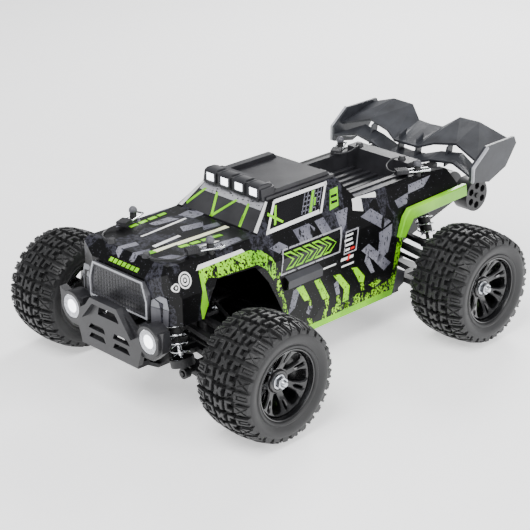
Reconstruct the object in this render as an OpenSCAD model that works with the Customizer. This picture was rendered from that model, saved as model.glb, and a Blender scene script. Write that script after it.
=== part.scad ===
// Radio-controlled monster truck, about one sixteenth scale, with its suspension, steering and driveline.
// X is across the truck with its left side at +X, the nose points to -Y and +Z is up.
// Inside the modules the origin is midway between the axles at axle height; vehicle() moves it to the ground.
// Corner modules use x outward from the middle, y from the axle towards that end of the truck, z from the axle.

/* [Overall] */
// distance from the front axle to the rear axle
wheelbase = 211; // [150:1:300]
// width over the outside of the tyres
overall_width = 252; // [200:1:340]
// how far the bumper reaches ahead of the front axle
front_overhang = 52; // [46:1:80]
// how far the wheelie rollers reach behind the rear axle
rear_overhang = 124; // [112:1:160]

/* [Wheels] */
// diameter over the tread blocks
tyre_diameter = 86; // [78:1:110]
// width of the tyre
tyre_width = 48; // [34:1:60]
// height of the tread blocks
tread_depth = 2.6; // [1:0.1:4]
// tread blocks around the wheel in each row
tread_count = 14; // [12:1:22]
// diameter of the rim where the tyre sits
rim_diameter = 51; // [46:1:60]
// wall of the rim barrel
rim_wall = 1.5; // [1:0.1:2.5]
// spokes in the rim
spoke_count = 7; // [5:1:8]
// diameter of the wheel axle
axle_diameter = 6; // [4:0.5:7]

/* [Suspension] */
// inner hinge of the arms from the middle of the truck
arm_pivot_x = 20; // [17:0.5:24]
// lower inner hinge below the axle
lower_pivot_drop = 8; // [6:0.5:10]
// height from the lower to the upper hinges
arm_spread = 26; // [24:0.5:30]
// drop of each arm from its inner to its outer hinge
arm_droop = 5; // [0:0.5:8]
// thickness of an arm
arm_thickness = 4.4; // [3:0.2:6]
// diameter of the hinge pins
pin_diameter = 3; // [2:0.1:4]
// shock mount on the lower arm from the middle of the truck
shock_foot_x = 49; // [44:0.5:52]
// shock mount on the tower from the middle of the truck
shock_head_x = 32; // [28:0.5:36]
// shock mount on the tower above the axle
shock_head_z = 46; // [42:0.5:50]
// diameter of the shock body
shock_diameter = 9.6; // [8:0.2:12]
// outer diameter of the coil spring
spring_diameter = 14; // [12:0.5:16]
// diameter of the spring wire
spring_wire = 1.3; // [0.8:0.1:2]
// turns in a spring
spring_turns = 7; // [4:1:10]

/* [Steering and driveline] */
// length of the steering cranks and of the knuckle arms
crank_radius = 12; // [10:0.5:13]
// diameter of the centre drive shaft
drive_shaft_diameter = 4; // [3:0.5:6]
// teeth on the spur gear
spur_teeth = 54; // [40:1:60]
// teeth on the motor pinion
pinion_teeth = 20; // [12:1:24]
// gear module
gear_module = 0.6; // [0.5:0.05:0.8]
// diameter of the motor
motor_diameter = 27.6; // [24:0.2:30]

/* [Body] */
// half width of the body at the doors
body_half_width = 52; // [48:0.5:56]
// thickness of the body shell
shell_wall = 1.2; // [0.8:0.1:2]
// half width of the chassis tub
tub_half_width = 47.5; // [42:0.5:47.5]
// thickness of the tub floor
tub_floor = 2.5; // [1.5:0.1:4]
// span of the rear wing
wing_span = 144; // [110:1:180]
// diameter of the wheelie rollers
roller_diameter = 27; // [18:0.5:32]
// width of one wheelie roller
roller_width = 14; // [8:0.5:18]

/* [Clearances] */
// radial gap of a turning fit
fit_gap = 0.06; // [0.02:0.01:0.1]
// gap between pieces that move past each other
move_gap = 0.5; // [0.3:0.05:1]
// radial gap around a ball end
ball_gap = 0.5; // [0.4:0.05:0.8]
// gap between fixed pieces that lie against each other
seat_gap = 0.05; // [0.02:0.01:0.1]

/* [Hidden] */
$fn = 48;
e = 0.01;
axle_z = tyre_diameter / 2;
half_track = overall_width / 2;
tyre_in = half_track - tyre_width;
kingpin_x = tyre_in + 4;
arm_end_x = kingpin_x - 10;
arm_run = arm_end_x - arm_pivot_x;
low_in_z = -lower_pivot_drop;
low_out_z = low_in_z - arm_droop;
top_in_z = low_in_z + arm_spread;
top_out_z = top_in_z - arm_droop;
arm_length = sqrt(arm_run * arm_run + arm_droop * arm_droop);
arm_tilt = atan(arm_droop / arm_run);
pin_r = pin_diameter / 2;
tube_r = pin_r + 1.9;
inner_half = 12.5;
carrier_half = 7.5;
ear_in = carrier_half + 0.4;
ear_out = ear_in + 3.6;
bulkhead_in = inner_half + move_gap;
bulkhead_out = bulkhead_in + 3;
axle_r = axle_diameter / 2;
cup_r = axle_r + 2;
ball_r = 3.1;
shaft_r = 1.5;
knuckle_r = cup_r + 3;
knuckle_len = 14;
knuckle_in = kingpin_x - 3.5;
knuckle_out = knuckle_in + knuckle_len;
hex_x = knuckle_out + 1;
lug_z = knuckle_r + 1.3;
lug_t = 3.2;
rim_r = rim_diameter / 2;
rim_in = tyre_in + 2;
rim_out = half_track - 3;
disc_x = half_track - 14;
nut_x = disc_x + 1;
tower_in = bulkhead_out;
tower_out = tower_in + 3;
shock_y = tower_out + 1.8;
shock_foot_z = low_in_z - 1;
shock_run = shock_foot_x - shock_head_x;
shock_drop = shock_head_z - shock_foot_z;
shock_length = sqrt(shock_run * shock_run + shock_drop * shock_drop);
shock_tilt = atan(shock_run / shock_drop);
shock_r = shock_diameter / 2;
spring_r = spring_diameter / 2 - spring_wire / 2;
perch_at = 7;
body_end = 31;
crank_x = 14;
crank_y = -24;
crank_z = 5;
crank_t = 3;
link_gap = 0.5;
link_t = 2.5;
link_z = crank_z + crank_t + link_gap;
rod_t = 3;
rod_tilt_gap = 0.5;
rod_z = link_z + link_t + link_gap + rod_tilt_gap;
knuckle_arm_z = 2.5;
rod_out_z = knuckle_arm_z + crank_t + link_gap + 0.5;
drive_z = 5;
drive_r = drive_shaft_diameter / 2;
spur_r = spur_teeth * gear_module / 2;
pinion_r = pinion_teeth * gear_module / 2;
motor_r = motor_diameter / 2;
tub_z = -19;
floor_z = tub_z + tub_floor;
motor_z = floor_z + motor_r + 0.7;
motor_x = -sqrt(pow(spur_r + pinion_r, 2) - pow(drive_z - motor_z, 2));
gear_y = 20;
axle_front = -wheelbase / 2;
axle_rear = wheelbase / 2;
nose = axle_front - 35.5;
tail = axle_rear + 54.5;
deck_z = 67.5;
sill_z = -18;
belt_z = 65;
bed_front = 47;
bed_rear = axle_rear + 24;
bed_half = 32;
post_x = 40;
front_post_y = axle_front + 10.2;
rear_post_y = axle_rear + 11.3;
knob_x = 18;
knob_y = axle_front - 27;
post_r = 2.5;
post_top = deck_z + 5.4;
roof_z = 84;
roof_front = -34;
roof_rear = 34;
roof_half = 31.5;
wing_half = wing_span / 2;
roller_y = axle_rear + rear_overhang - roller_diameter / 2;
roller_z = 17.6;
roller_x = 6;
pod_x = 40.6;
pod_z = 19.6;
lens_r = 8.5;
tether_r = 0.6;
screw_r = 2.4;
steel = "#c9ccd0";
black = "#17181a";
grey = "#3a3c40";
rubber = "#26272a";
lime = "#a9dc12";
silver = "#b4b8bd";

// ---- placing ----

// from axle height between the axles to the ground under the middle of the truck
module vehicle() {
    translate([0, (front_overhang - rear_overhang) / 2, axle_z]) children();
}

// side is 1 for left and -1 for right; end is -1 for front and 1 for rear
module corner(side, end) {
    vehicle()
        translate([0, end * wheelbase / 2, 0])
            mirror([side < 0 ? 1 : 0, 0, 0])
                mirror([0, end < 0 ? 1 : 0, 0]) children();
}

module both_sides() {
    children();
    mirror([1, 0, 0]) children();
}

module both_ends() {
    translate([0, axle_rear, 0]) children();
    translate([0, axle_front, 0]) mirror([0, 1, 0]) children();
}

// a round bar along x, y or z from a to b
module bar_x(r, a, b) {
    translate([a, 0, 0]) rotate([0, 90, 0]) cylinder(r = r, h = b - a);
}

module bar_y(r, a, b) {
    translate([0, a, 0]) rotate([-90, 0, 0]) cylinder(r = r, h = b - a);
}

module box(x0, x1, y0, y1, z0, z1) {
    translate([x0, y0, z0]) cube([x1 - x0, y1 - y0, z1 - z0]);
}

// an outline drawn in y and z, pushed along x from a to b
module slab_x(a, b) {
    translate([a, 0, 0]) rotate([90, 0, 90]) linear_extrude(b - a) children();
}

// an outline drawn in x and z, pushed along y from a to b
module slab_y(a, b) {
    translate([0, b, 0]) rotate([90, 0, 0]) linear_extrude(b - a) children();
}

// ---- wheels ----

// one row of tread blocks, turned by shift of a pitch, with their faces at radius top
module tread_row(a, b, shift, top) {
    pitch = 360 / tread_count;
    block = tyre_diameter * PI / tread_count * 0.56;
    for (i = [0 : tread_count - 1])
        rotate([(i + shift) * pitch, 0, 0])
            box(a, b, -block / 2, block / 2, axle_z - 1.7 * tread_depth, top);
}

module tyre() {
    crown = axle_z - tread_depth;
    a = tyre_in;
    b = half_track;
    bead = rim_r + seat_gap;
    color(rubber) {
        rotate([0, 90, 0]) rotate_extrude($fn = 72) polygon([
            [bead, a + 3], [bead + 3, a + 1], [bead + 7, a], [crown - 5, a + 1], [crown - 1, a + 4],
            [crown, a + 9], [crown, b - 9], [crown - 1, b - 4], [crown - 5, b - 1], [bead + 7, b],
            [bead + 3, b - 1], [bead, b - 3], [bead, b - 7], [bead + 5, b - 8], [crown - 4, b - 9],
            [crown - 4, a + 9], [bead + 5, a + 8], [bead, a + 7]]);
        tread_row(a + 4.6, a + 15, 0, axle_z);
        tread_row(a + 16.5, b - 16.5, 0.5, axle_z - 0.25);
        tread_row(b - 15, b - 4.6, 0, axle_z);
    }
}

// rim, wheel axle, drive cup, hex and flange nut turn as one
module rim() {
    spoke = 360 / spoke_count;
    color(black) {
        rotate([0, 90, 0]) rotate_extrude($fn = 72) polygon([
            [rim_r - rim_wall, rim_in], [rim_r, rim_in], [rim_r, rim_out], [rim_r - 2.2 * rim_wall, rim_out],
            [rim_r - rim_wall - 1.5, disc_x], [rim_r - rim_wall - 1.5, disc_x - 3],
            [rim_r - rim_wall, disc_x - 5]]);
        difference() {
            bar_x(rim_r - rim_wall, disc_x - 3, disc_x);
            for (i = [0 : spoke_count - 1])
                rotate([(i + 0.5) * spoke, 0, 0])
                    translate([disc_x - 4, 0, rim_r * 0.62]) rotate([0, 90, 0]) cylinder(r = 5, h = 5);
            bar_x(axle_r, disc_x - 4, disc_x + 1);
        }
        difference() {
            bar_x(8, hex_x + 4, disc_x);
            bar_x(axle_r, hex_x, disc_x + 1);
        }
    }
    color(steel) {
        difference() {
            bar_x(cup_r, kingpin_x - 3, kingpin_x + 6);
            bar_x(ball_r + ball_gap, kingpin_x - 4, kingpin_x + 4.5);
        }
        bar_x(axle_r, kingpin_x + 6 - e, nut_x + 4);
        translate([hex_x, 0, 0]) rotate([0, 90, 0]) cylinder(r = 6.5, h = 4, $fn = 6);
        bar_x(5, disc_x, disc_x + 1.2);
        translate([disc_x + 1.2 - e, 0, 0]) rotate([0, 90, 0]) cylinder(r = 4, h = 3.6, $fn = 6);
    }
}

// ---- suspension ----

// arm drawn flat from its inner hinge, then set at its slope
module arm_frame(inner_z) {
    translate([arm_pivot_x, 0, inner_z]) rotate([0, arm_tilt, 0]) children();
}

module arm_bores() {
    bar_y(pin_r + fit_gap, -30, 30);
    translate([arm_length, 0, 0]) bar_y(pin_r + fit_gap, -30, 30);
}

module lower_arm() {
    foot = shock_foot_x - arm_pivot_x;
    color(black) {
        arm_frame(low_in_z) difference() {
            union() {
                bar_y(tube_r, -inner_half, inner_half);
                translate([0, 0, -arm_thickness / 2]) linear_extrude(arm_thickness) difference() {
                    polygon([[0, -inner_half], [foot + 6, -10.5], [arm_length, -ear_out], [arm_length, ear_out],
                        [foot + 7, tower_in], [foot - 7, tower_in], [6, inner_half], [0, inner_half]]);
                    polygon([[8, -6], [foot - 8, -5], [foot - 8, 5], [8, 6]]);
                    polygon([[foot - 3, -5], [foot + 7, -4.5], [foot + 7, 4.5], [foot - 3, 7]]);
                }
                for (s = [-1, 1])
                    translate([arm_length, s * (ear_in + ear_out) / 2, 0]) bar_y(3, -1.8, 1.8);
            }
            arm_bores();
            translate([arm_length - 5, -ear_in, -5]) cube([12, 2 * ear_in, 10]);
        }
        translate([shock_foot_x, 0, shock_foot_z]) bar_y(pin_r, tower_in - 4, shock_y + 5.4);
    }
}

module upper_arm() {
    color(black) arm_frame(top_in_z) difference() {
        union() {
            bar_y(tube_r - 0.4, -inner_half, inner_half);
            translate([0, 0, -1.8]) linear_extrude(3.6) difference() {
                polygon([[0, -inner_half], [12, -9.5], [arm_length, -ear_out], [arm_length, ear_out],
                    [12, 9.5], [0, inner_half]]);
                polygon([[10, -6], [arm_length - 9, -5.5], [arm_length - 9, 5.5], [10, 6]]);
            }
            for (s = [-1, 1])
                translate([arm_length, s * (ear_in + ear_out) / 2, 0]) bar_y(3, -1.8, 1.8);
        }
        arm_bores();
        translate([arm_length - 5, -ear_in, -5]) cube([12, 2 * ear_in, 10]);
    }
}

// upright with its two hinge pins and a window for the half shaft
module upright() {
    difference() {
        slab_y(-carrier_half, carrier_half) polygon([
            [arm_end_x - 2.5, low_out_z - 3.5], [arm_end_x + 2.5, low_out_z - 3.5],
            [arm_end_x + 2.5, top_out_z + 3.5], [arm_end_x - 2.5, top_out_z + 3.5]]);
        bar_x(6, arm_end_x - 5, arm_end_x + 5);
    }
    for (z = [low_out_z, top_out_z])
        translate([arm_end_x, 0, z]) bar_y(pin_r, -ear_out - 0.3, ear_out + 0.3);
}

// C-shaped carrier whose lugs hold the kingpins
module hub_carrier_front() {
    color(black) {
        upright();
        for (z = [lug_z, -lug_z - lug_t])
            difference() {
                translate([0, 0, z]) linear_extrude(lug_t) union() {
                    translate([kingpin_x, 0]) circle(r = 5);
                    translate([arm_end_x, -5]) square([kingpin_x - arm_end_x, 10]);
                }
                translate([kingpin_x, 0, z - 1]) cylinder(r = pin_r + fit_gap, h = lug_t + 2);
            }
    }
}

// bearing seat for the cup and the wheel axle
module hub_bores() {
    bar_x(cup_r + 0.3, knuckle_in - 1, kingpin_x + 6.4);
    bar_x(axle_r + fit_gap, kingpin_x + 6, knuckle_out + 1);
}

module knuckle() {
    color(grey) {
        difference() {
            union() {
                bar_x(knuckle_r, knuckle_in, knuckle_out);
                translate([kingpin_x, 0, -lug_z - lug_t]) cylinder(r = pin_r, h = 2 * (lug_z + lug_t));
                translate([kingpin_x, 0, -lug_z + 0.4]) cylinder(r = 3.4, h = 2 * (lug_z - 0.4));
                translate([kingpin_x, 0, knuckle_arm_z]) linear_extrude(crank_t) union() {
                    translate([0, -crank_radius]) circle(r = 3);
                    translate([-3, -crank_radius]) square([6, crank_radius]);
                }
            }
            hub_bores();
        }
        translate([kingpin_x, -crank_radius, knuckle_arm_z])
            cylinder(r = pin_r, h = rod_out_z + rod_t + 0.6 - knuckle_arm_z);
    }
}

module hub_carrier_rear() {
    color(black) difference() {
        union() {
            upright();
            difference() {
                bar_x(knuckle_r, arm_end_x, knuckle_out);
                bar_x(6, arm_end_x - 1, knuckle_in);
            }
        }
        hub_bores();
    }
}

// dog-bone shaft from the gearbox cup to the wheel cup
module half_shaft() {
    run = kingpin_x - arm_pivot_x;
    rise = drive_z;
    span = sqrt(run * run + rise * rise);
    color(steel) translate([arm_pivot_x, 0, drive_z]) rotate([0, 90 + atan(rise / run), 0]) {
        cylinder(r = shaft_r, h = span);
        sphere(r = ball_r);
        translate([0, 0, span]) sphere(r = ball_r);
    }
}

// shock drawn downwards from its top eye, then leaned outwards
module shock_frame() {
    translate([shock_head_x, shock_y, shock_head_z]) rotate([0, 180 - shock_tilt, 0])
        children();
}

module eye(r, bore, width) {
    rotate([-90, 0, 0]) difference() {
        cylinder(r = r, h = width);
        translate([0, 0, -1]) cylinder(r = bore, h = width + 2);
    }
}

module shock_body() {
    width = 4.6;
    color(black) shock_frame() {
        eye(3.6, pin_r + fit_gap, width);
        translate([0, width / 2, 0]) difference() {
            union() {
                translate([0, 0, 2.6]) cylinder(r = 3, h = 3);
                translate([0, 0, 5]) cylinder(r = shock_r, h = body_end - 5);
                translate([0, 0, perch_at - 2]) cylinder(r = spring_diameter / 2 + 0.4, h = 2);
            }
            translate([0, 0, perch_at]) cylinder(r = shock_r - 1.1, h = body_end - perch_at - 3);
            translate([0, 0, body_end - 4]) cylinder(r = shaft_r + fit_gap, h = 5);
        }
    }
}

module shock_shaft() {
    width = 4.6;
    piston = 15;
    cup_at = shock_length - perch_at;
    shock_frame() {
        color(black) translate([0, 0, shock_length]) eye(3.8, pin_r + ball_gap + 0.3, width);
        color(steel) translate([0, width / 2, 0]) {
            translate([0, 0, piston]) cylinder(r = shaft_r, h = shock_length - 3 - piston);
            translate([0, 0, piston]) cylinder(r = shock_r - 1.1 - fit_gap, h = 3);
        }
        color(black) translate([0, width / 2, 0]) {
            difference() {
                translate([0, 0, cup_at - 4]) cylinder(r = spring_diameter / 2 + 1.5, h = 5.5);
                translate([0, 0, cup_at - 5]) cylinder(r = spring_diameter / 2 + 0.4, h = 5);
            }
            translate([0, 0, cup_at + 1]) cylinder(r = 2.6, h = perch_at - 4);
        }
    }
}

// points of a ring of wire on the helix at turn t
function coil_ring(t, length) =
    [for (k = [0 : 5])
        let (r = spring_r + spring_wire / 2 * cos(k * 60),
            z = spring_wire / 2 + (length - spring_wire) * t / spring_turns + spring_wire / 2 * sin(k * 60))
        [r * cos(t * 360), r * sin(t * 360), z]];

module coil(length) {
    steps = 14 * spring_turns;
    points = [for (i = [0 : steps]) each coil_ring(i / 14, length)];
    sides = [for (i = [0 : steps - 1], k = [0 : 5])
        [i * 6 + k, i * 6 + (k + 1) % 6, (i + 1) * 6 + (k + 1) % 6, (i + 1) * 6 + k]];
    first = [[for (k = [5 : -1 : 0]) k]];
    last = [[for (k = [0 : 5]) steps * 6 + k]];
    polyhedron(points = points, faces = concat(sides, first, last));
}

module coil_springs() {
    color(silver)
        for (side = [-1, 1], end = [-1, 1])
            translate([0, end * wheelbase / 2, 0])
                mirror([side < 0 ? 1 : 0, 0, 0]) mirror([0, end < 0 ? 1 : 0, 0])
                    shock_frame() translate([0, 2.3, perch_at])
                        coil(shock_length - 2 * perch_at);
}

// ---- steering ----

module crank_plate() {
    linear_extrude(crank_t) union() {
        circle(r = 4);
        translate([0, -crank_radius]) circle(r = 3.2);
        translate([-2.6, -crank_radius]) square([5.2, crank_radius]);
    }
}

// crank with its pin, drawn for the corner frame of the front axle
module crank() {
    translate([crank_x, crank_y, crank_z]) {
        difference() {
            crank_plate();
            translate([0, 0, -1]) cylinder(r = 2 + fit_gap, h = crank_t + 2);
        }
        translate([0, -crank_radius, 0])
            cylinder(r = pin_r, h = rod_z + rod_t + 0.6 - crank_z);
    }
}

module steering_cross_link() {
    y = crank_y - crank_radius;
    color(grey) translate([0, y, link_z]) difference() {
        linear_extrude(link_t) union() {
            for (s = [-1, 1])
                translate([s * crank_x, 0]) circle(r = 3.4);
            translate([-crank_x, -2.2]) square([2 * crank_x, 4.4]);
        }
        for (s = [-1, 1])
            translate([s * crank_x, 0, -1]) cylinder(r = pin_r + fit_gap, h = link_t + 2);
    }
}

// rod from the cross link to the knuckle arm, with an open eye at each end
module tie_rod() {
    y0 = crank_y - crank_radius;
    run = kingpin_x - crank_x;
    rise = rod_out_z - rod_z;
    slant = -crank_radius - y0;
    flat = sqrt(run * run + slant * slant);
    color(black) {
        for (p = [[crank_x, y0, rod_z], [kingpin_x, -crank_radius, rod_out_z]])
            translate(p) difference() {
                cylinder(r = 3.4, h = rod_t);
                translate([0, 0, -1]) cylinder(r = pin_r + ball_gap + 0.2, h = rod_t + 2);
            }
        translate([crank_x, y0, rod_z + rod_t / 2])
            rotate([0, 0, atan(slant / run)]) rotate([0, 90 - atan(rise / flat), 0])
                translate([0, 0, 2.9]) cylinder(r = 1.4, h = sqrt(flat * flat + rise * rise) - 5.8);
    }
}

// ---- chassis ----

module chassis_tub() {
    front = axle_front + 17;
    rear = axle_rear - 16;
    wide = axle_front + 56;
    wall = 2;
    color(black) {
        difference() {
            translate([0, 0, tub_z]) linear_extrude(17) polygon([
                [-26, front], [26, front], [tub_half_width, wide], [tub_half_width, rear],
                [-tub_half_width, rear], [-tub_half_width, wide]]);
            translate([0, 0, floor_z]) linear_extrude(20) polygon([
                [-26 + wall, front + wall], [26 - wall, front + wall], [tub_half_width - wall, wide + 1],
                [tub_half_width - wall, rear - wall], [wall - tub_half_width, rear - wall],
                [wall - tub_half_width, wide + 1]]);
            for (y = [front, rear])
                box(-13, 13, y - 4, y + 4, floor_z, 20);
        }
        for (end = [[axle_front - 16, front + 1], [rear - 1, axle_rear + 16]])
            box(-15, 15, end[0], end[1], tub_z, floor_z);
        // the idler crank turns on this post
        translate([crank_x, axle_front - crank_y, floor_z - e])
            cylinder(r = 3.6, h = crank_z - floor_z - link_gap);
        translate([crank_x, axle_front - crank_y, floor_z]) cylinder(r = 2, h = crank_z + crank_t - floor_z);
    }
}

module gearbox() {
    color(black) {
        difference() {
            union() {
                box(-12.5, 12.5, -inner_half, inner_half, floor_z, top_in_z + 3);
                for (s = [-1, 1])
                    mirror([0, s < 0 ? 1 : 0, 0]) slab_y(bulkhead_in, bulkhead_out) polygon([
                        [-15, floor_z], [15, floor_z], [arm_pivot_x + 4, low_in_z - 3], [arm_pivot_x + 4, low_in_z + 4],
                        [15, 0], [15, 10], [arm_pivot_x + 4, top_in_z - 3], [arm_pivot_x + 4, top_in_z + 4],
                        [-arm_pivot_x - 4, top_in_z + 4], [-arm_pivot_x - 4, top_in_z - 3], [-15, 10], [-15, 0],
                        [-arm_pivot_x - 4, low_in_z + 4], [-arm_pivot_x - 4, low_in_z - 3]]);
                box(-12.5, 12.5, -bulkhead_in - e, bulkhead_in + e, floor_z, top_in_z + 3);
            }
            translate([0, 0, drive_z]) bar_y(drive_r + fit_gap, -30, -8);
        }
    }
    color(steel) both_sides() {
        for (z = [low_in_z, top_in_z])
            translate([arm_pivot_x, 0, z]) bar_y(pin_r, -bulkhead_out, bulkhead_out);
        translate([0, 0, drive_z]) difference() {
            bar_x(cup_r + 0.4, 12, arm_pivot_x + 3);
            bar_x(ball_r + ball_gap, arm_pivot_x - 4, arm_pivot_x + 4);
        }
    }
}

module gearbox_housings() {
    both_ends() gearbox();
}

// tower plate, shock pins and one pair of body posts reaching back from the tower by reach
module tower(reach) {
    head_low = shock_head_z - 2.6;
    color(black) {
        // the plate reaches each shock from above, clear of the spring seat
        slab_y(tower_in, tower_out) polygon([
            [-12, 2], [12, 2], [15, 24], [shock_head_x - 10, shock_head_z - 5], [shock_head_x - 5, head_low],
            [shock_head_x + 5, head_low], [shock_head_x + 5, shock_head_z + 4],
            [shock_head_x - 4, shock_head_z + 5], [14, 36], [-14, 36], [4 - shock_head_x, shock_head_z + 5],
            [-5 - shock_head_x, shock_head_z + 4], [-5 - shock_head_x, head_low],
            [5 - shock_head_x, head_low], [10 - shock_head_x, shock_head_z - 5], [-15, 24]]);
        both_sides() {
            translate([shock_head_x, 0, shock_head_z]) bar_y(pin_r, tower_out - 1, shock_y + 5.4);
            box(shock_head_x + 3, post_x + 3, tower_in, tower_out, shock_head_z - 1.5, shock_head_z + 4);
            box(post_x - 3, post_x + 3, reach, tower_out, shock_head_z - 1, shock_head_z + 4);
            translate([post_x, reach, shock_head_z - 1]) cylinder(r = post_r, h = post_top - shock_head_z + 1);
        }
    }
}

module shock_towers() {
    translate([0, axle_rear, 0]) tower(rear_post_y - axle_rear);
    translate([0, axle_front, 0]) mirror([0, 1, 0]) tower(axle_front - front_post_y);
}

module front_bumper() {
    tip = axle_front - front_overhang;
    color(grey) {
        // face plate with slots and its top hoop
        difference() {
            slab_y(tip + 4, tip + 8) polygon([
                [-30, -2], [30, -2], [34, 10], [34, 20], [25, 26], [14, 35], [-14, 35], [-25, 26], [-34, 20],
                [-34, 10]]);
            slab_y(tip, tip + 10) polygon([[-11, 23], [11, 23], [9, 31], [-9, 31]]);
            for (s = [-1, 1], z = [3, 10])
                mirror([s < 0 ? 1 : 0, 0, 0]) slab_y(tip, tip + 10)
                    polygon([[4, z], [22, z], [19, z + 4], [6, z + 4]]);
            both_sides() translate([pod_x, 0, pod_z]) bar_y(lens_r + 0.1, tip, tip + 11);
        }
        slab_y(tip, tip + 5)
            polygon([[-28, 18], [-14, 36], [14, 36], [28, 18], [24, 18], [12, 32], [-12, 32], [-24, 18]]);
        // lamp pods with a hollow for each lens
        both_sides() {
            difference() {
                union() {
                    translate([pod_x, 0, pod_z]) bar_y(lens_r + 2.5, tip + 4, nose - 1);
                    slab_y(tip + 6, tip + 12) polygon([
                        [26, 5], [44, 6], [53, 14], [55, 30], [48, 27], [30, 28]]);
                }
                translate([pod_x, 0, pod_z]) bar_y(lens_r + 0.1, tip, tip + 11);
            }
        }
        // skid plate back to the tub
        slab_x(-15, 15) polygon([
            [tip + 4, -2], [tip + 8, -2], [axle_front - 17, floor_z], [axle_front - 16 - seat_gap, floor_z - 0.2],
            [axle_front - 16 - seat_gap, tub_z], [axle_front - 18, tub_z]]);
        slab_y(tip + 4, tip + 14) polygon([[-30, -4], [30, -4], [30, 0], [-30, 0]]);
        // two stays back to the shock tower
        both_sides() box(4, 11, tip + 7, axle_front - tower_out - seat_gap, 12, 17);
    }
}

module lamp_lenses() {
    tip = axle_front - front_overhang;
    color("#f4f6ff") {
        both_sides() {
            translate([pod_x, 0, pod_z]) bar_y(lens_r, tip + 5, tip + 11 - seat_gap);
            for (x = [7.3, 22])
                box(x - 3.6, x + 3.6, roof_front - 3.9, roof_front - 0.9, roof_z + 2.6, roof_z + 8.2);
        }
    }
}

module motor() {
    color(steel) translate([motor_x, 0, motor_z]) {
        bar_y(motor_r, gear_y + 6, gear_y + 44);
        bar_y(5, gear_y + 4.5, gear_y + 6.5);
        bar_y(3.6, gear_y + 44 - e, gear_y + 47);
    }
    color(black) difference() {
        slab_y(gear_y + 8, gear_y + 11) polygon([
            [motor_x - motor_r - 2, floor_z], [motor_x + motor_r + 2, floor_z],
            [motor_x + motor_r + 2, motor_z + motor_r + 2], [motor_x - motor_r - 2, motor_z + motor_r + 2]]);
        translate([motor_x, 0, motor_z]) bar_y(motor_r - e, gear_y, gear_y + 20);
        translate([0, 0, drive_z]) bar_y(drive_r + 1, gear_y, gear_y + 20);
    }
}

module battery_pack() {
    color("#2b4d8c") difference() {
        box(6, 44, -48, 14, floor_z, floor_z + 19);
        box(20, 30, -60, 20, floor_z + 18, floor_z + 20);
    }
    color(black) for (y = [-38, 0])
        translate([0, y, 0]) difference() {
            box(5, 45, 0, 6, floor_z, floor_z + 20.4);
            box(6, 44, -1, 7, floor_z - 1, floor_z + 19);
        }
}

module receiver_unit() {
    color(black) {
        box(-43, -10, -40, 2, floor_z, floor_z + 11);
        for (i = [0 : 5])
            box(-40, -14, -26 + i * 4, -24.4 + i * 4, floor_z + 11 - e, floor_z + 15);
        translate([-38, -36, floor_z + 11 - e]) cylinder(r = 1, h = 30);
    }
}

module steering_servo() {
    translate([-crank_x, axle_front - crank_y, 0]) color(black) {
        box(-6.5, 6.5, -4.6, 16.5, floor_z, crank_z - 2.6);
        box(-6.5, 6.5, -4.8, 21, floor_z + 12, floor_z + 14);
        translate([0, 0, crank_z - 2.7]) cylinder(r = 5, h = 2.7 - link_gap);
        translate([0, 0, crank_z - 2]) cylinder(r = 2, h = crank_t + 2);
    }
}

// ---- driveline ----

// gear blank with tapered tooth spaces; the tips stop just short of the pitch circle
module gear(teeth, width, bore) {
    r = teeth * gear_module / 2 - 0.04;
    pitch = 360 / teeth;
    translate([0, width, 0]) rotate([90, 0, 0]) difference() {
        cylinder(r = r, h = width);
        translate([0, 0, -1]) cylinder(r = bore, h = width + 2);
        for (i = [0 : teeth - 1])
            rotate([0, 0, i * pitch]) translate([r, 0, -1]) linear_extrude(width + 2)
                polygon([[0.2, -0.55], [-0.9, -0.22], [-0.9, 0.22], [0.2, 0.55]]);
    }
}

module centre_drive_shaft() {
    translate([0, 0, drive_z]) {
        color(steel) bar_y(drive_r, axle_front + 9, axle_rear - 9);
        color(grey) {
            translate([0, gear_y, 0]) gear(spur_teeth, 6, drive_r - e);
            bar_y(5.5, gear_y - 4, gear_y + 0.1);
            for (y = [axle_front + 19.5, axle_rear - 25.5])
                bar_y(3.6, y, y + 6);
        }
    }
}

module motor_pinion() {
    translate([motor_x, gear_y, motor_z]) color(steel) gear(pinion_teeth, 4, 1);
}

// ---- body ----

// outline of the lower body from the side; w is the distance inside the outer face
module body_side(w) {
    polygon([
        [nose + 4 + w, sill_z - w], [nose + w, 50], [nose + w, 57 - w / 2], [nose + 7 + w, deck_z - w],
        [nose + 70, belt_z + 1.5 - w], [50, deck_z - w], [axle_rear + 14, deck_z - w],
        [tail - 13 - w / 2, deck_z - 3 - w], [tail - w, 43], [tail - w, sill_z - w]]);
}

// outline from the front
module body_front(w) {
    h = body_half_width - w;
    right = [[h - 2, sill_z - w], [h, 32], [h - 2, 46], [h - 9, belt_z - w / 2], [h - 12, deck_z + 1 - w]];
    polygon(concat([for (p = right) p], [for (i = [4 : -1 : 0]) [-right[i][0], right[i][1]]]));
}

// outline from above
module body_plan(w) {
    h = body_half_width - w;
    right = [[30, nose + w], [h - 8, nose + 4.5 + w], [h - 2, nose + 11], [h - 2, axle_front + 40],
        [h, axle_front + 70], [h, tail - 12], [h - 6, tail - w]];
    polygon(concat(right, [for (i = [6 : -1 : 0]) [-right[i][0], right[i][1]]]));
}

// cab outlines from the side and the front
module cab_side(w) {
    polygon([[-56 + w, belt_z - 6], [-56 + w, belt_z - 1], [roof_front + w, roof_z - w],
        [roof_rear - w, roof_z - w], [47 - w, belt_z + 1], [47 - w, belt_z - 6]]);
}

module cab_front(w) {
    a = body_half_width - 9 - w;
    b = roof_half + 1 - w;
    polygon([[-a - 0.6, belt_z - 6], [-a, belt_z], [-b, roof_z - w], [b, roof_z - w], [a, belt_z],
        [a + 0.6, belt_z - 6]]);
}

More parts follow.
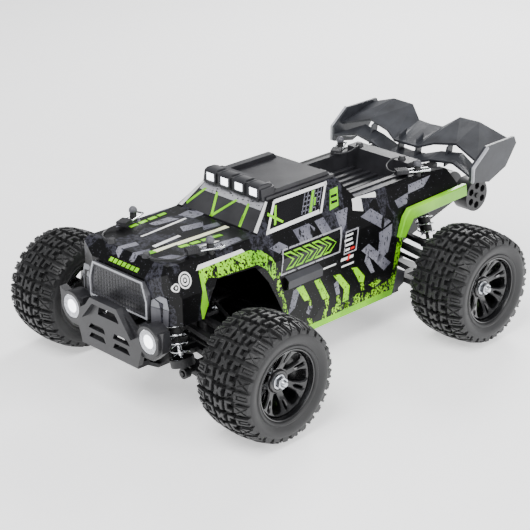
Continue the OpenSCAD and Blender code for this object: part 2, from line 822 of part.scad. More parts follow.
module body_volume(w) {
    intersection() {
        slab_x(-80, 80) body_side(w);
        slab_y(nose - 10, tail + 10) body_front(w);
        translate([0, 0, sill_z - 5]) linear_extrude(120) body_plan(w);
    }
    intersection() {
        slab_x(-80, 80) cab_side(w);
        slab_y(-80, 80) cab_front(w);
    }
}

// what is cut away round the front and the rear wheels
module wheel_arches() {
    a = axle_front;
    b = axle_rear;
    slab_x(-80, 80) polygon([
        [nose - 5, 27], [a - 8, 25.8], [a - 6, 25.8], [a + 3, 44], [a + 8, 50], [a + 43, 48], [a + 54, 34],
        [a + 70, 2], [a + 80, sill_z - 9], [nose - 5, sill_z - 9]]);
    slab_x(-80, 80) polygon([
        [b - 28, sill_z - 9], [b - 16, 32], [b - 8, 41], [tail + 5, 41], [tail + 5, sill_z - 9]]);
}

module body_shell() {
    color(black) difference() {
        union() {
            difference() {
                body_volume(0);
                body_volume(shell_wall);
                wheel_arches();
            }
            both_sides() {
                // side steps
                slab_y(-37, -2) polygon([
                    [body_half_width - 1, 22.5], [body_half_width + 3.4, 25], [body_half_width + 4, 31],
                    [body_half_width - 1, 34]]);
                // front corner blocks
                slab_y(nose + 1, nose + 4) polygon([[32, 29], [41, 29], [41, 43], [32, 45]]);
                // lime flare over the rear wheel
                color(lime) slab_x(body_half_width - 1, body_half_width + 3) polygon([
                    [axle_rear - 24, 30], [axle_rear - 18, 44], [axle_rear - 13, 49], [tail - 2, 51],
                    [tail - 1, 42], [axle_rear - 9, 40.5], [axle_rear - 14, 34], [axle_rear - 18, 28]]);
            }
        }
        // load bed opening
        box(-bed_half, bed_half, bed_front, bed_rear, 50, 80);
        both_sides() {
            for (y = [front_post_y, rear_post_y])
                translate([post_x, y, 50]) cylinder(r = post_r + 0.4, h = 30);
            // eye for the screw of the clip's tether
            translate([knob_x, knob_y, 50]) cylinder(r = 1.3, h = 30);
        }
        // gap in the tail for the wing posts and the lower wing blade
        box(-36, 36, bed_rear + 3, tail + 1, 50, 80);
    }
}

module roof_panel() {
    color(grey) {
        box(-roof_half, roof_half, roof_front, roof_rear, roof_z, roof_z + 2.4);
        both_sides()
            slab_x(24, 30) polygon([[-26, roof_z + 2], [-23, roof_z + 6], [28, roof_z + 6], [31, roof_z + 2]]);
        // domed light bar with four lamp seats
        difference() {
            slab_y(roof_front - 3, roof_front + 10) polygon([
                [-30.5, roof_z], [30.5, roof_z], [29, roof_z + 8], [24, roof_z + 10], [-24, roof_z + 10],
                [-29, roof_z + 8]]);
            box(-40, 40, roof_front - 4, roof_front + 0.5, roof_z - 5, roof_z + 0.01);
            both_sides() for (x = [7.3, 22])
                box(x - 3.7, x + 3.7, roof_front - 4, roof_front - 0.85, roof_z + 2.5, roof_z + 8.3);
        }
    }
}

module cargo_bed() {
    wall = 1.4;
    gap = 0.3;
    color(grey) {
        difference() {
            box(gap - bed_half, bed_half - gap, bed_front + gap, bed_rear - gap, 54, deck_z + 0.01);
            box(gap + wall - bed_half, bed_half - wall - gap, bed_front + wall + gap, bed_rear - wall - gap, 55.5, 90);
        }
        difference() {
            box(-bed_half - 2.5, bed_half + 2.5, bed_front - 0.5, bed_rear + 1.5, deck_z + 0.02, deck_z + 1.2);
            box(wall - bed_half, bed_half - wall, bed_front + wall, bed_rear - wall, 55.5, 90);
            both_sides() for (y = [rear_post_y])
                translate([post_x, y, 50]) cylinder(r = post_r + 0.4, h = 30);
        }
        for (i = [-3 : 3])
            box(i * 8 - 1.5, i * 8 + 1.5, bed_front + 2, bed_rear - 14, 55.5 - e, 57.5);
        box(-bed_half + 1, bed_half - 1, bed_rear - 14, bed_rear - 2, 55.5 - e, deck_z + 6);
    }
}

module grille_guard() {
    color(grey) {
        difference() {
            slab_y(nose - 3, nose - seat_gap) polygon([
                [-30, 29], [30, 29], [31, 47], [26, 55], [-26, 55], [-31, 47]]);
            slab_y(nose - 4, nose - 1.8) polygon([
                [-27.5, 32], [27.5, 32], [28.5, 46.5], [24.5, 52.5], [-24.5, 52.5], [-28.5, 46.5]]);
        }
    }
}

// wing panel between two stations; a station is [x, front y, front z, rear y, rear z]
module panel(a, b, t) {
    hull() {
        for (s = [a, b])
            translate([s[0], 0, 0]) rotate([90, 0, 90]) linear_extrude(0.1)
                polygon([[s[1], s[2]], [s[3], s[4]], [s[3], s[4] - t], [s[1], s[2] - t]]);
    }
}

module rear_wing() {
    r = axle_rear;
    w = wing_half;
    deck = [[0, r + 43.5, 74.5, r + 73, 83], [12, r + 43.5, 74.5, r + 73.5, 83.5],
        [w - 47.7, r + 48.5, 79, r + 79.5, 92.5], [w - 28, r + 51, 82.5, r + 79, 93.2],
        [w - 2, r + 45.5, 75, r + 84, 84]];
    blade = [[0, r + 36, 63, r + 52, 66], [14, r + 36.5, 64, r + 52, 67], [w - 42, r + 37.5, 69.5, r + 51, 73],
        [w - 22, r + 40, 71.5, r + 52, 76], [w - 2, r + 36, 67, r + 54, 62]];
    color(grey) {
        both_sides() {
            for (i = [0 : 3]) {
                panel(deck[i], deck[i + 1], 1.8);
                panel(blade[i], blade[i + 1], 1.8);
            }
            for (x = [8, w - 34])
                slab_x(x, x + 1.6) polygon([
                    [r + 44, 64], [r + 51, 66], [r + 54, 82], [r + 47, 79]]);
            slab_x(w - 2.2, w) polygon([
                [r + 36, 61], [r + 36, 73], [r + 53, 86], [r + 87, 86], [r + 90, 80], [r + 78, 64], [r + 58, 56.5]]);
        }
    }
}

module rear_bracket() {
    r = axle_rear;
    t = r + tower_out;
    color(black) {
        // wing posts, inside the shocks at the foot and out to the ribs at the head
        both_sides() {
            slab_x(20, 25.5) polygon([
                [t + seat_gap, 36], [t + seat_gap, 42], [r + 32, 62.8], [r + 43, 62.8], [r + 40, 57], [t + 8, 36]]);
            slab_x(20, 33) polygon([[r + 33, 57], [r + 33, 62.8], [r + 43, 62.8], [r + 40, 57]]);
            slab_x(27, 33) polygon([[r + 34, 62], [r + 37, 66], [r + 43, 66], [r + 43, 62]]);
        }
        box(-25.5, 25.5, t + seat_gap, t + 3, 30, 38);
        // wheelie arm
        slab_x(-4, 4) polygon([
            [t + seat_gap, -12], [t + seat_gap, 12], [roller_y - 6, roller_z + 5], [roller_y + 5, roller_z + 4],
            [roller_y + 5, roller_z - 4], [roller_y - 6, roller_z - 6]]);
        slab_y(t + seat_gap, t + 4) polygon([[-12, -14], [12, -14], [12, 16], [-12, 16]]);
        slab_y(r + bulkhead_out + seat_gap, t + 1) polygon([[-11, -14], [11, -14], [11, 1.5], [-11, 1.5]]);
    }
    color(steel) translate([0, roller_y, roller_z])
        bar_x(2, -roller_x - roller_width - 1.2, roller_x + roller_width + 1.2);
}

module wheelie_rollers() {
    color(black) both_sides() translate([0, roller_y, roller_z]) difference() {
        bar_x(roller_diameter / 2, roller_x, roller_x + roller_width);
        bar_x(2 + fit_gap, 0, roller_x + roller_width + 1);
        for (i = [0 : 5])
            rotate([i * 60, 0, 0]) translate([roller_x + roller_width - 4, 0, 8.2])
                rotate([0, 90, 0]) cylinder(r = 3, h = 5, $fn = 6);
    }
}

// spring clip and ribbed pull tab for one body post
module clip() {
    z = deck_z + 1.4;
    color(steel) translate([0, 0, z + 1]) {
        for (s = [-1, 1])
            translate([0, s * (post_r + 0.55), 0]) bar_x(0.5, -8, 9);
        translate([9, -post_r - 0.55, 0]) bar_y(0.5, 0, 2 * post_r + 1.1);
    }
    color(rubber) box(-17, -7.6, -3.6, 3.6, z, z + 2.6);
}

// a point on a smooth curve through the route's points; t runs from 0 to the last point's number
function route_point(route, t) =
    let (i = min(floor(t), len(route) - 2), u = t - i,
        p = [for (k = [-1 : 2]) route[max(0, min(len(route) - 1, i + k))]])
    0.5 * (2 * p[1] + (p[2] - p[0]) * u + (2 * p[0] - 5 * p[1] + 4 * p[2] - p[3]) * u * u
        + (3 * p[1] - p[0] - 3 * p[2] + p[3]) * u * u * u);

function unit(v) = v / norm(v);

// moulded rubber tether along a route, as one swept skin of round section
module tether(route) {
    steps = 4 * (len(route) - 1);
    sides = 8;
    rings = [for (i = [0 : steps])
        let (here = route_point(route, i / 4),
            along = unit(route_point(route, min(steps, i + 1) / 4) - route_point(route, max(0, i - 1) / 4)),
            across = unit(cross(along, [0, 0, 1])),
            up = cross(across, along))
        [for (k = [0 : sides - 1])
            here + tether_r * (across * cos(k * 360 / sides) + up * sin(k * 360 / sides))]];
    walls = [for (i = [0 : steps - 1], k = [0 : sides - 1])
        [i * sides + k, i * sides + (k + 1) % sides, (i + 1) * sides + (k + 1) % sides, (i + 1) * sides + k]];
    start = [[for (k = [sides - 1 : -1 : 0]) k]];
    end = [[for (k = [0 : sides - 1]) steps * sides + k]];
    polyhedron(points = [for (ring = rings) each ring], faces = concat(walls, start, end));
}

// round button that holds a tether down, standing on z
module knob(z) {
    cylinder(r1 = 3.2, r2 = 2.2, h = z);
}

module body_clips() {
    z = deck_z + 2.6;
    color(grey) both_sides()
        for (y = [front_post_y, rear_post_y])
            translate([post_x, y, 0]) difference() {
                translate([0, 0, post_top + 2]) sphere(r = 2.9);
                translate([-5, -5, post_top - 5 + seat_gap]) cube([10, 10, 5]);
            }
    both_sides() {
        translate([post_x, front_post_y, 0]) rotate([0, 0, 70]) clip();
        translate([post_x, rear_post_y, 0]) rotate([0, 0, 60]) clip();
        color(rubber) {
            translate([knob_x, knob_y, deck_z + seat_gap]) {
                knob(3.2);
                translate([0, 0, -4]) cylinder(r = 1.2, h = 5);
            }
            tether([[knob_x, knob_y, z - 1], [24, knob_y - 1, z - 1], [31, knob_y + 2, z - 1.2],
                [36, knob_y + 9, z - 1.4], [37, knob_y + 16, z - 0.8], [35, knob_y + 22, z]]);
            translate([22, bed_rear - 10, deck_z + 6 + seat_gap]) knob(3);
            tether([[22, bed_rear - 10, z + 5], [19, bed_rear - 17, z + 5], [20, bed_rear - 25, z + 3],
                [25, bed_rear - 30, z + 1.5], [30, bed_rear - 29.5, z + 0.4], [32.4, bed_rear - 25.6, z]]);
        }
    }
}

// screws that hold the skid plate, the towers and the tub
module fasteners() {
    color(steel) {
        both_ends() both_sides() {
            translate([8, 0, tub_z - 0.8]) cylinder(r = screw_r, h = 0.8);
            for (z = [20.6, 27])
                translate([8, tower_out, z]) rotate([-90, 0, 0]) cylinder(r = screw_r, h = 1.4);
        }
        both_sides() for (y = [-30, 10, 50])
            translate([36, y, tub_z - 0.8]) cylinder(r = screw_r, h = 0.8);
    }
}

corner(1, -1) tyre();  // front_left_tyre
corner(1, -1) rim();  // front_left_rim
corner(1, -1) lower_arm();  // front_left_lower_arm
corner(1, -1) upper_arm();  // front_left_upper_arm
corner(1, -1) hub_carrier_front();  // front_left_hub_carrier
corner(1, -1) knuckle();  // front_left_knuckle
corner(1, -1) half_shaft();  // front_left_half_shaft
corner(1, -1) shock_body();  // front_left_shock_body
corner(1, -1) shock_shaft();  // front_left_shock_shaft
corner(-1, -1) tyre();  // front_right_tyre
corner(-1, -1) rim();  // front_right_rim
corner(-1, -1) lower_arm();  // front_right_lower_arm
corner(-1, -1) upper_arm();  // front_right_upper_arm
corner(-1, -1) hub_carrier_front();  // front_right_hub_carrier
corner(-1, -1) knuckle();  // front_right_knuckle
corner(-1, -1) half_shaft();  // front_right_half_shaft
corner(-1, -1) shock_body();  // front_right_shock_body
corner(-1, -1) shock_shaft();  // front_right_shock_shaft
corner(1, 1) tyre();  // rear_left_tyre
corner(1, 1) rim();  // rear_left_rim
corner(1, 1) lower_arm();  // rear_left_lower_arm
corner(1, 1) upper_arm();  // rear_left_upper_arm
corner(1, 1) hub_carrier_rear();  // rear_left_hub_carrier
corner(1, 1) half_shaft();  // rear_left_half_shaft
corner(1, 1) shock_body();  // rear_left_shock_body
corner(1, 1) shock_shaft();  // rear_left_shock_shaft
corner(-1, 1) tyre();  // rear_right_tyre
corner(-1, 1) rim();  // rear_right_rim
corner(-1, 1) lower_arm();  // rear_right_lower_arm
corner(-1, 1) upper_arm();  // rear_right_upper_arm
corner(-1, 1) hub_carrier_rear();  // rear_right_hub_carrier
corner(-1, 1) half_shaft();  // rear_right_half_shaft
corner(-1, 1) shock_body();  // rear_right_shock_body
corner(-1, 1) shock_shaft();  // rear_right_shock_shaft
vehicle() coil_springs();
corner(-1, -1) color(grey) crank();  // steering_crank
corner(1, -1) color(grey) crank();  // idler_crank
corner(1, -1) steering_cross_link();
corner(1, -1) tie_rod();  // tie_rod_left
corner(-1, -1) tie_rod();  // tie_rod_right
vehicle() chassis_tub();
vehicle() front_bumper();
vehicle() lamp_lenses();
vehicle() gearbox_housings();
vehicle() shock_towers();
vehicle() motor();
vehicle() battery_pack();
vehicle() receiver_unit();
vehicle() steering_servo();
vehicle() rear_wing();
vehicle() rear_bracket();
vehicle() wheelie_rollers();
vehicle() body_shell();
vehicle() roof_panel();
vehicle() cargo_bed();
vehicle() grille_guard();
vehicle() body_clips();
vehicle() centre_drive_shaft();
vehicle() motor_pinion();
vehicle() fasteners();
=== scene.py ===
import bmesh
import bpy
from math import cos, pi, radians, sin, sqrt
from mathutils import Matrix, Vector
from mathutils.bvhtree import BVHTree
from mathutils.geometry import delaunay_2d_cdt


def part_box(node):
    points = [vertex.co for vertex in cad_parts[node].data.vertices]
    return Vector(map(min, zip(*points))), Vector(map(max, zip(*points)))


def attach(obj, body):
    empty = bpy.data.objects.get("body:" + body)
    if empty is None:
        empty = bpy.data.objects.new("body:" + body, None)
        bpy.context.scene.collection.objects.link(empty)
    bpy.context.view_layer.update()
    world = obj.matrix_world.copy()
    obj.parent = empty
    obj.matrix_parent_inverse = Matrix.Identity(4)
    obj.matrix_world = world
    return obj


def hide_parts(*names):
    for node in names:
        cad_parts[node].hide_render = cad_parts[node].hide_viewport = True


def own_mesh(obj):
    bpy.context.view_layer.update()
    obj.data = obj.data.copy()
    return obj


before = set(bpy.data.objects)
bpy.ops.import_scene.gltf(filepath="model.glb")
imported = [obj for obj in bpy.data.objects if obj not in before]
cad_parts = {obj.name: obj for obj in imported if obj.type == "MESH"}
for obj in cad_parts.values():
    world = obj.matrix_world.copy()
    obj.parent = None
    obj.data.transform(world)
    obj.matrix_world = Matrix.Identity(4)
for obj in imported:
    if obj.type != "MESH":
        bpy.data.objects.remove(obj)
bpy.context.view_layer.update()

# Camera, table and lights. The truck stands on a pale table in a white tent, with one big lamp
# over the nose, a softer one on its left and a strip behind that draws the edges of the roof and wing.
camera = bpy.data.objects.new("camera", bpy.data.cameras.new("camera"))
bpy.context.scene.collection.objects.link(camera)
bpy.context.scene.camera = camera
camera.data.lens = 108.65
camera.data.sensor_width = 36
camera.data.clip_start = 0.05
right = Vector((0.69818, 0.71585, -0.00962))
above = Vector((-0.27602, 0.28155, 0.91899))
back = right.cross(above)
camera.matrix_world = Matrix((
    (right.x, above.x, back.x, 0.77667),
    (right.y, above.y, back.y, -0.79291),
    (right.z, above.z, back.z, 0.52397),
    (0, 0, 0, 1)))


def linear(colour):
    """An sRGB colour such as #a1b2c3 as the linear colour that a socket takes."""
    parts = [int(colour[i:i + 2], 16) / 255 for i in (1, 3, 5)]
    return [p / 12.92 if p <= 0.04045 else ((p + 0.055) / 1.055) ** 2.4 for p in parts] + [1]


def add(tree, kind, links=None, **settings):
    """Adds a node, sets its settings and input values, and links its inputs from other nodes' outputs."""
    new = tree.nodes.new(kind)
    for name, value in settings.items():
        if hasattr(new, name):
            setattr(new, name, value)
        else:
            new.inputs[name.replace("_", " ")].default_value = value
    for name, source in (links or {}).items():
        tree.links.new(source, new.inputs[name])
    return new


def finish(name, **settings):
    """A new material, its tree, its shader set to plain values, and the coordinates its patterns read."""
    made = bpy.data.materials.new(name)
    made.use_nodes = True
    tree = made.node_tree
    tree.nodes.clear()
    shader = tree.nodes.new("ShaderNodeBsdfPrincipled")
    for socket, value in settings.items():
        shader.inputs[socket.replace("_", " ")].default_value = value
    output = tree.nodes.new("ShaderNodeOutputMaterial")
    tree.links.new(shader.outputs[0], output.inputs[0])
    return made, tree, shader, add(tree, "ShaderNodeTexCoord")


def piece(name, mesh, look, body, stands_for=(), smooth=None):
    """Links a finished mesh as a piece that rides on a body and stands for the CAD nodes named."""
    made = bpy.data.objects.new(name, mesh)
    bpy.context.scene.collection.objects.link(made)
    mesh.materials.clear()
    mesh.materials.append(look)
    if smooth:
        mesh.shade_smooth()
        mesh.set_sharp_from_angle(angle=radians(smooth))
    if body:
        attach(made, body)
    if stands_for:
        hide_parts(*stands_for)
    return made


def mesh_of(name, points, faces, turn_out=True):
    """A mesh with its doubles merged and its faces turned outwards."""
    mesh = bpy.data.meshes.new(name)
    mesh.from_pydata([tuple(p) for p in points], [], faces)
    shape = bmesh.new()
    shape.from_mesh(mesh)
    bmesh.ops.remove_doubles(shape, verts=shape.verts, dist=1e-6)
    if turn_out:
        bmesh.ops.recalc_face_normals(shape, faces=shape.faces)
    shape.to_mesh(mesh)
    shape.free()
    return mesh


table_look, tree, shader, spot = finish("matt_table_laminate", Roughness=0.9, Specular_IOR_Level=0.1,
                                  Emission_Color=linear("#ffffff"), Emission_Strength=0.72)
grain = add(tree, "ShaderNodeTexNoise", {"Vector": spot.outputs["Object"]}, Scale=40.0, Detail=3.0)
shade = add(tree, "ShaderNodeMix", {"Factor": grain.outputs["Fac"]}, data_type="RGBA")
shade.inputs[6].default_value = linear("#f6f6f7")
shade.inputs[7].default_value = linear("#fbfbfb")
tree.links.new(shade.outputs[2], shader.inputs["Base Color"])
table = bpy.data.objects.new("table", mesh_of("table", [
    (-6, -6, -0.0002), (6, -6, -0.0002), (6, 6, -0.0002), (-6, 6, -0.0002)], [(0, 1, 2, 3)], False))
bpy.context.scene.collection.objects.link(table)
table.data.materials.append(table_look)

tent = bpy.data.worlds.new("white_tent")
bpy.context.scene.world = tent
tent.use_nodes = True
tent.node_tree.nodes["Background"].inputs["Color"].default_value = linear("#fbfcff")
tent.node_tree.nodes["Background"].inputs["Strength"].default_value = 0.5
for name, place, aim, size, power in (
        ("lamp_over_nose", (0.25, -0.75, 1.15), (0, -0.05, 0.08), 0.7, 19),
        ("lamp_left", (1.3, 0.15, 0.75), (0, 0.02, 0.06), 0.6, 14),
        ("strip_behind", (-0.5, 1.0, 0.8), (0, 0.05, 0.12), 0.5, 18)):
    lamp = bpy.data.objects.new(name, bpy.data.lights.new(name, "AREA"))
    bpy.context.scene.collection.objects.link(lamp)
    lamp.data.size = size
    lamp.data.energy = power
    lamp.location = place
    lamp.rotation_euler = (Vector(aim) - Vector(place)).to_track_quat("-Z", "Y").to_euler()

# Tyres. Four soft rubber tyres on foam, moulded with rows of knobs: notched blocks in the middle,
# brackets beside them and square shoulder blocks carved by turns with an X and with a slot.
wheels = {}
for side_name, side in (("left", 1), ("right", -1)):
    for end_name, end in (("front", -1), ("rear", 1)):
        low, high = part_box(f"{end_name}_{side_name}_tyre")
        wheels[f"{end_name}_{side_name}"] = (side, end, (low + high) / 2)
tyre_low, tyre_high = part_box("front_left_tyre")
tyre_radius = (tyre_high.z - tyre_low.z) * 500
tyre_middle = (tyre_high.x + tyre_low.x) * 500
repeats = 14
repeat_length = 2 * pi * tyre_radius / repeats


def at_wheel(wheel, x, y, z):
    """A point in mm from the truck's middle outwards, and from the axle, in metres in the shared frame."""
    side, end, centre = wheels[wheel]
    return Vector((side * x / 1000, centre.y + y / 1000, centre.z + z / 1000))


def turned(profile, count, put):
    """Points and faces of a profile of (x, radius) turned about the axle; a closed one repeats a point."""
    points, faces = [], []
    for i in range(count):
        angle = 2 * pi * i / count
        points += [put(x, r * cos(angle), r * sin(angle)) for x, r in profile]
    n = len(profile)
    for i in range(count):
        j = (i + 1) % count
        faces += [(i * n + k, i * n + k + 1, j * n + k + 1, j * n + k) for k in range(n - 1)]
    return points, faces


crown_edge = 16
crown_drop = 1.33


def tread_top(x):
    """Height of the tread blocks above the axle: a shallow crown, then a slope over each shoulder."""
    if abs(x) < crown_edge:
        return tyre_radius - 0.0052 * x * x
    return tyre_radius - crown_drop - 0.30 * (abs(x) - crown_edge)


def inset(outline, by):
    """The outline moved inwards by a distance, corner by corner; a negative distance moves it outwards."""
    turn = sum(a[0] * b[1] - b[0] * a[1] for a, b in zip(outline, outline[1:] + outline[:1]))
    moved = []
    for before, here, after in zip(outline[-1:] + outline[:-1], outline, outline[1:] + outline[:1]):
        one = (Vector(here) - Vector(before)).normalized()
        two = (Vector(after) - Vector(here)).normalized()
        normals = [Vector((-v.y, v.x)) * (1 if turn > 0 else -1) for v in (one, two)]
        mean = (normals[0] + normals[1]) / max(0.6, 1 + normals[0].dot(normals[1]))
        moved.append(tuple(Vector(here) + mean * by))
    return moved


def tread_block(outline, sink, depth, bevel, put):
    """A moulded tread block: outline in mm across and around, sunk from the top, with a bevelled edge."""
    fine = []
    for (a, b), (c, d) in zip(outline, outline[1:] + outline[:1]):
        steps = max(1, round(sqrt((c - a) ** 2 + (d - b) ** 2) / 3.2))
        fine += [(a + (c - a) * k / steps, b + (d - b) * k / steps) for k in range(steps)]
    top = inset(fine, bevel)
    rings = [[(x, u, tread_top(x) - depth) for x, u in fine],
             [(x, u, tread_top(x) - sink - bevel) for x, u in fine],
             [(x, u, tread_top(x) - sink) for x, u in top]]
    n = len(fine)
    points = [put(*p) for ring in rings for p in ring]
    faces = [(r * n + k, r * n + (k + 1) % n, (r + 1) * n + (k + 1) % n, (r + 1) * n + k)
             for r in range(2) for k in range(n)]
    faces.append(tuple(range(2 * n, 3 * n)))
    faces.append(tuple(reversed(range(n))))
    return points, faces


def merged(parts):
    """Joins lists of points and faces into one."""
    points, faces = [], []
    for some_points, some_faces in parts:
        faces += [tuple(i + len(points) for i in face) for face in some_faces]
        points += some_points
    return points, faces


# one repeat of the tread, in mm across the tyre and around it, for one half of its width
middle_blocks = [
    [(-4.6, 0.6), (-1.4, 0.6), (-0.7, 3.2), (0.7, 3.2), (1.4, 0.6), (4.6, 0.6), (4.2, 4.6), (4.6, 8.8),
     (1.4, 8.8), (0.7, 6.2), (-0.7, 6.2), (-1.4, 8.8), (-4.6, 8.8), (-4.2, 4.6)],
    [(-4.6, 10.4), (-1.2, 10.4), (0, 12.4), (1.2, 10.4), (4.6, 10.4), (3.2, 14.2), (4.6, 17.8), (1.2, 17.8),
     (0, 15.8), (-1.2, 17.8), (-4.6, 17.8), (-3.2, 14.2)]]
bracket_blocks = [
    [(5.8, 1.6), (12.4, 1.2), (12.4, 4.0), (8.8, 4.4), (8.8, 7.6), (12.4, 8.0), (12.4, 10.6), (5.8, 10.2)],
    [(5.8, 11.8), (8.6, 11.8), (9.2, 15.4), (12.6, 15.4), (12.6, 18.4), (7.0, 18.4)]]
x_block = [[(14.2, 1.9), (14.2, 7.7), (17.8, 4.8)], [(15.2, 1.0), (18.9, 4.0), (22.6, 1.0)],
           [(15.2, 8.6), (22.6, 8.6), (18.9, 5.6)], [(23.4, 1.9), (20.0, 4.8), (23.4, 7.7)]]
slot_block = [[(14.0, 10.6), (23.4, 10.6), (23.4, 12.5), (14.0, 12.5)],
              [(14.0, 12.5), (15.8, 12.5), (15.8, 16.5), (14.0, 16.5)],
              [(14.0, 16.5), (23.4, 16.5), (23.4, 18.4), (14.0, 18.4)],
              [(17.2, 13.5), (22.4, 13.5), (22.4, 15.5), (17.2, 15.5)]]
shoulder_bases = [[(13.9, 0.7), (23.5, 0.7), (23.5, 8.9), (13.9, 8.9)],
                  [(13.9, 10.4), (23.5, 10.4), (23.5, 18.6), (13.9, 18.6)]]


def closer(outline):
    """A shoulder outline made shorter round the tyre, to leave a deep groove on both sides of its block."""
    first_middle, second_middle, kept_share = 4.8, 14.5, 0.83
    in_first_half = sum(u for _, u in outline) < repeat_length / 2 * len(outline)
    middle = first_middle if in_first_half else second_middle
    return [(x, middle + (u - middle) * kept_share) for x, u in outline]


# the carcass from bead to bead, as (mm from its middle plane, radius), closed through the inside
carcass = [(20.4, 25.3), (21.6, 25.5), (22.5, 26.4), (22.6, 27.5), (22.0, 28.2), (22.3, 29.0), (23.3, 30.6),
           (23.9, 32.6),
           (24.0, 34.4), (23.5, 35.8), (22.6, 36.9), (21.0, 37.7), (17.5, 38.4), (12, 38.8), (6, 38.9),
           (0, 39.0)]
carcass = carcass + [(-x, r) for x, r in reversed(carcass[:-1])] + [(-19, 27), (-18, 36), (18, 36),
        (19, 27), (20.4, 25.3)]

def two_toned(tree, shader, field, dark, light, low=0.0, high=1.0):
    """Colours a finish from dark to light as a pattern's value runs from low to high."""
    tone = add(tree, "ShaderNodeValToRGB", {"Fac": field})
    for stop, place, colour in zip(tone.color_ramp.elements, (low, high), (dark, light)):
        stop.position = place
        stop.color = linear(colour)
    tree.links.new(tone.outputs["Color"], shader.inputs["Base Color"])
    return tone.outputs["Color"]


# tyre rubber: soft black SBR from an oily mould, satin with dusty patches that are a touch greyer
tyre_rubber, tree, shader, spot = finish("tyre_rubber_sbr", Roughness=0.52, Specular_IOR_Level=0.5,
                                   Sheen_Weight=0.08)
scuff = add(tree, "ShaderNodeTexNoise", {"Vector": spot.outputs["Object"]}, Scale=160.0, Detail=6.0,
            Roughness=0.65)
two_toned(tree, shader, scuff.outputs["Fac"], "#09090a", "#1a1a1c", 0.3, 0.75)
dull = add(tree, "ShaderNodeMapRange", {"Value": scuff.outputs["Fac"]}, To_Min=0.42, To_Max=0.66)
tree.links.new(dull.outputs["Result"], shader.inputs["Roughness"])
pores = add(tree, "ShaderNodeTexNoise", {"Vector": spot.outputs["Object"]}, Scale=1400.0, Detail=3.0)
skin = add(tree, "ShaderNodeBump", {"Height": pores.outputs["Fac"]}, Strength=0.25, Distance=0.0003)
tree.links.new(skin.outputs["Normal"], shader.inputs["Normal"])

# the tread grows round the carcass: one repeat is set on each of the tyre's points and made real
tread_tree = bpy.data.node_groups.new("tread_ring", "GeometryNodeTree")
for label, kind in (("Carcass", "Geometry"), ("Repeat", "Object"), ("Repeats", "Int"),
                    ("Rubber", "Material")):
    tread_tree.interface.new_socket(label, in_out="INPUT", socket_type="NodeSocket" + kind)
tread_tree.interface.new_socket("Tyre", in_out="OUTPUT", socket_type="NodeSocketGeometry")
given = add(tread_tree, "NodeGroupInput")
block_row = add(tread_tree, "GeometryNodeObjectInfo", {"Object": given.outputs["Repeat"]})
stations = add(tread_tree, "GeometryNodePoints", {"Count": given.outputs["Repeats"]})
number = add(tread_tree, "GeometryNodeInputIndex")
share = add(tread_tree, "ShaderNodeMath", operation="DIVIDE")
tread_tree.links.new(number.outputs[0], share.inputs[0])
tread_tree.links.new(given.outputs["Repeats"], share.inputs[1])
turn = add(tread_tree, "ShaderNodeMath", operation="MULTIPLY")
tread_tree.links.new(share.outputs[0], turn.inputs[0])
turn.inputs[1].default_value = 2 * pi
spin = add(tread_tree, "ShaderNodeCombineXYZ", {"X": turn.outputs[0]})
placed = add(tread_tree, "GeometryNodeInstanceOnPoints", {
    "Points": stations.outputs[0], "Instance": block_row.outputs["Geometry"], "Rotation": spin.outputs[0]})
real = add(tread_tree, "GeometryNodeRealizeInstances", {"Geometry": placed.outputs[0]})
joined = add(tread_tree, "GeometryNodeJoinGeometry")
tread_tree.links.new(real.outputs[0], joined.inputs[0])
tread_tree.links.new(given.outputs["Carcass"], joined.inputs[0])
coated = add(tread_tree, "GeometryNodeSetMaterial",
             {"Geometry": joined.outputs[0], "Material": given.outputs["Rubber"]})
taken = add(tread_tree, "NodeGroupOutput")
tread_tree.links.new(coated.outputs[0], taken.inputs[0])


def grown(tree, start, **settings):
    """The plain mesh that a tree of Geometry Nodes grows from a start mesh, with its named inputs set."""
    holder = bpy.data.objects.new("grown", start)
    bpy.context.scene.collection.objects.link(holder)
    grow = holder.modifiers.new("grow", "NODES")
    grow.node_group = tree
    for item in tree.interface.items_tree:
        if item.in_out == "INPUT" and item.name.replace(" ", "_") in settings:
            grow[item.identifier] = settings[item.name.replace(" ", "_")]
    bpy.context.view_layer.update()
    seen = holder.evaluated_get(bpy.context.evaluated_depsgraph_get())
    result = bpy.data.meshes.new_from_object(seen)
    holder.modifiers.clear()
    bpy.data.objects.remove(holder)
    return result


for wheel, (side, end, centre) in wheels.items():
    def on_tread(x, u, r, flip=1, shift=0):
        angle = (u * flip + shift) / tyre_radius
        return Vector(((tyre_middle * side + x * side) / 1000, r * sin(angle) / 1000,
                       r * cos(angle) / 1000))

    blocks = [tread_block(inset(b, 0.45), 0, 4.8, 0.35, on_tread) for b in middle_blocks]
    for half, shift in ((1, 0), (-1, repeat_length / 2)):
        def on_half(x, u, r):
            return on_tread(x * half, u + shift, r)

        blocks += [tread_block(inset(b, 0.4), 0.1, 4.8, 0.35, on_half) for b in bracket_blocks]
        blocks += [tread_block(closer(b), 1.2, 5.2, 0.3, on_half) for b in shoulder_bases]
        blocks += [tread_block(closer(b), 0, 2.2, 0.25, on_half) for b in x_block + slot_block]
    row = bpy.data.objects.new("tread_repeat", mesh_of("tread_repeat", *merged(blocks)))
    bpy.context.scene.collection.objects.link(row)
    body_ring = mesh_of("carcass", *turned(carcass, 112, lambda x, y, z: Vector(
        ((tyre_middle + x) * side, y, z)) / 1000))
    tyre = grown(tread_tree, body_ring, Repeat=row, Repeats=repeats, Rubber=tyre_rubber)
    bpy.data.objects.remove(row)
    tyre.transform(Matrix.Translation((0, centre.y, centre.z)))
    piece(f"{wheel}_knobbed_tyre", tyre, tyre_rubber, f"{wheel}_wheel", [f"{wheel}_tyre"],
          40)

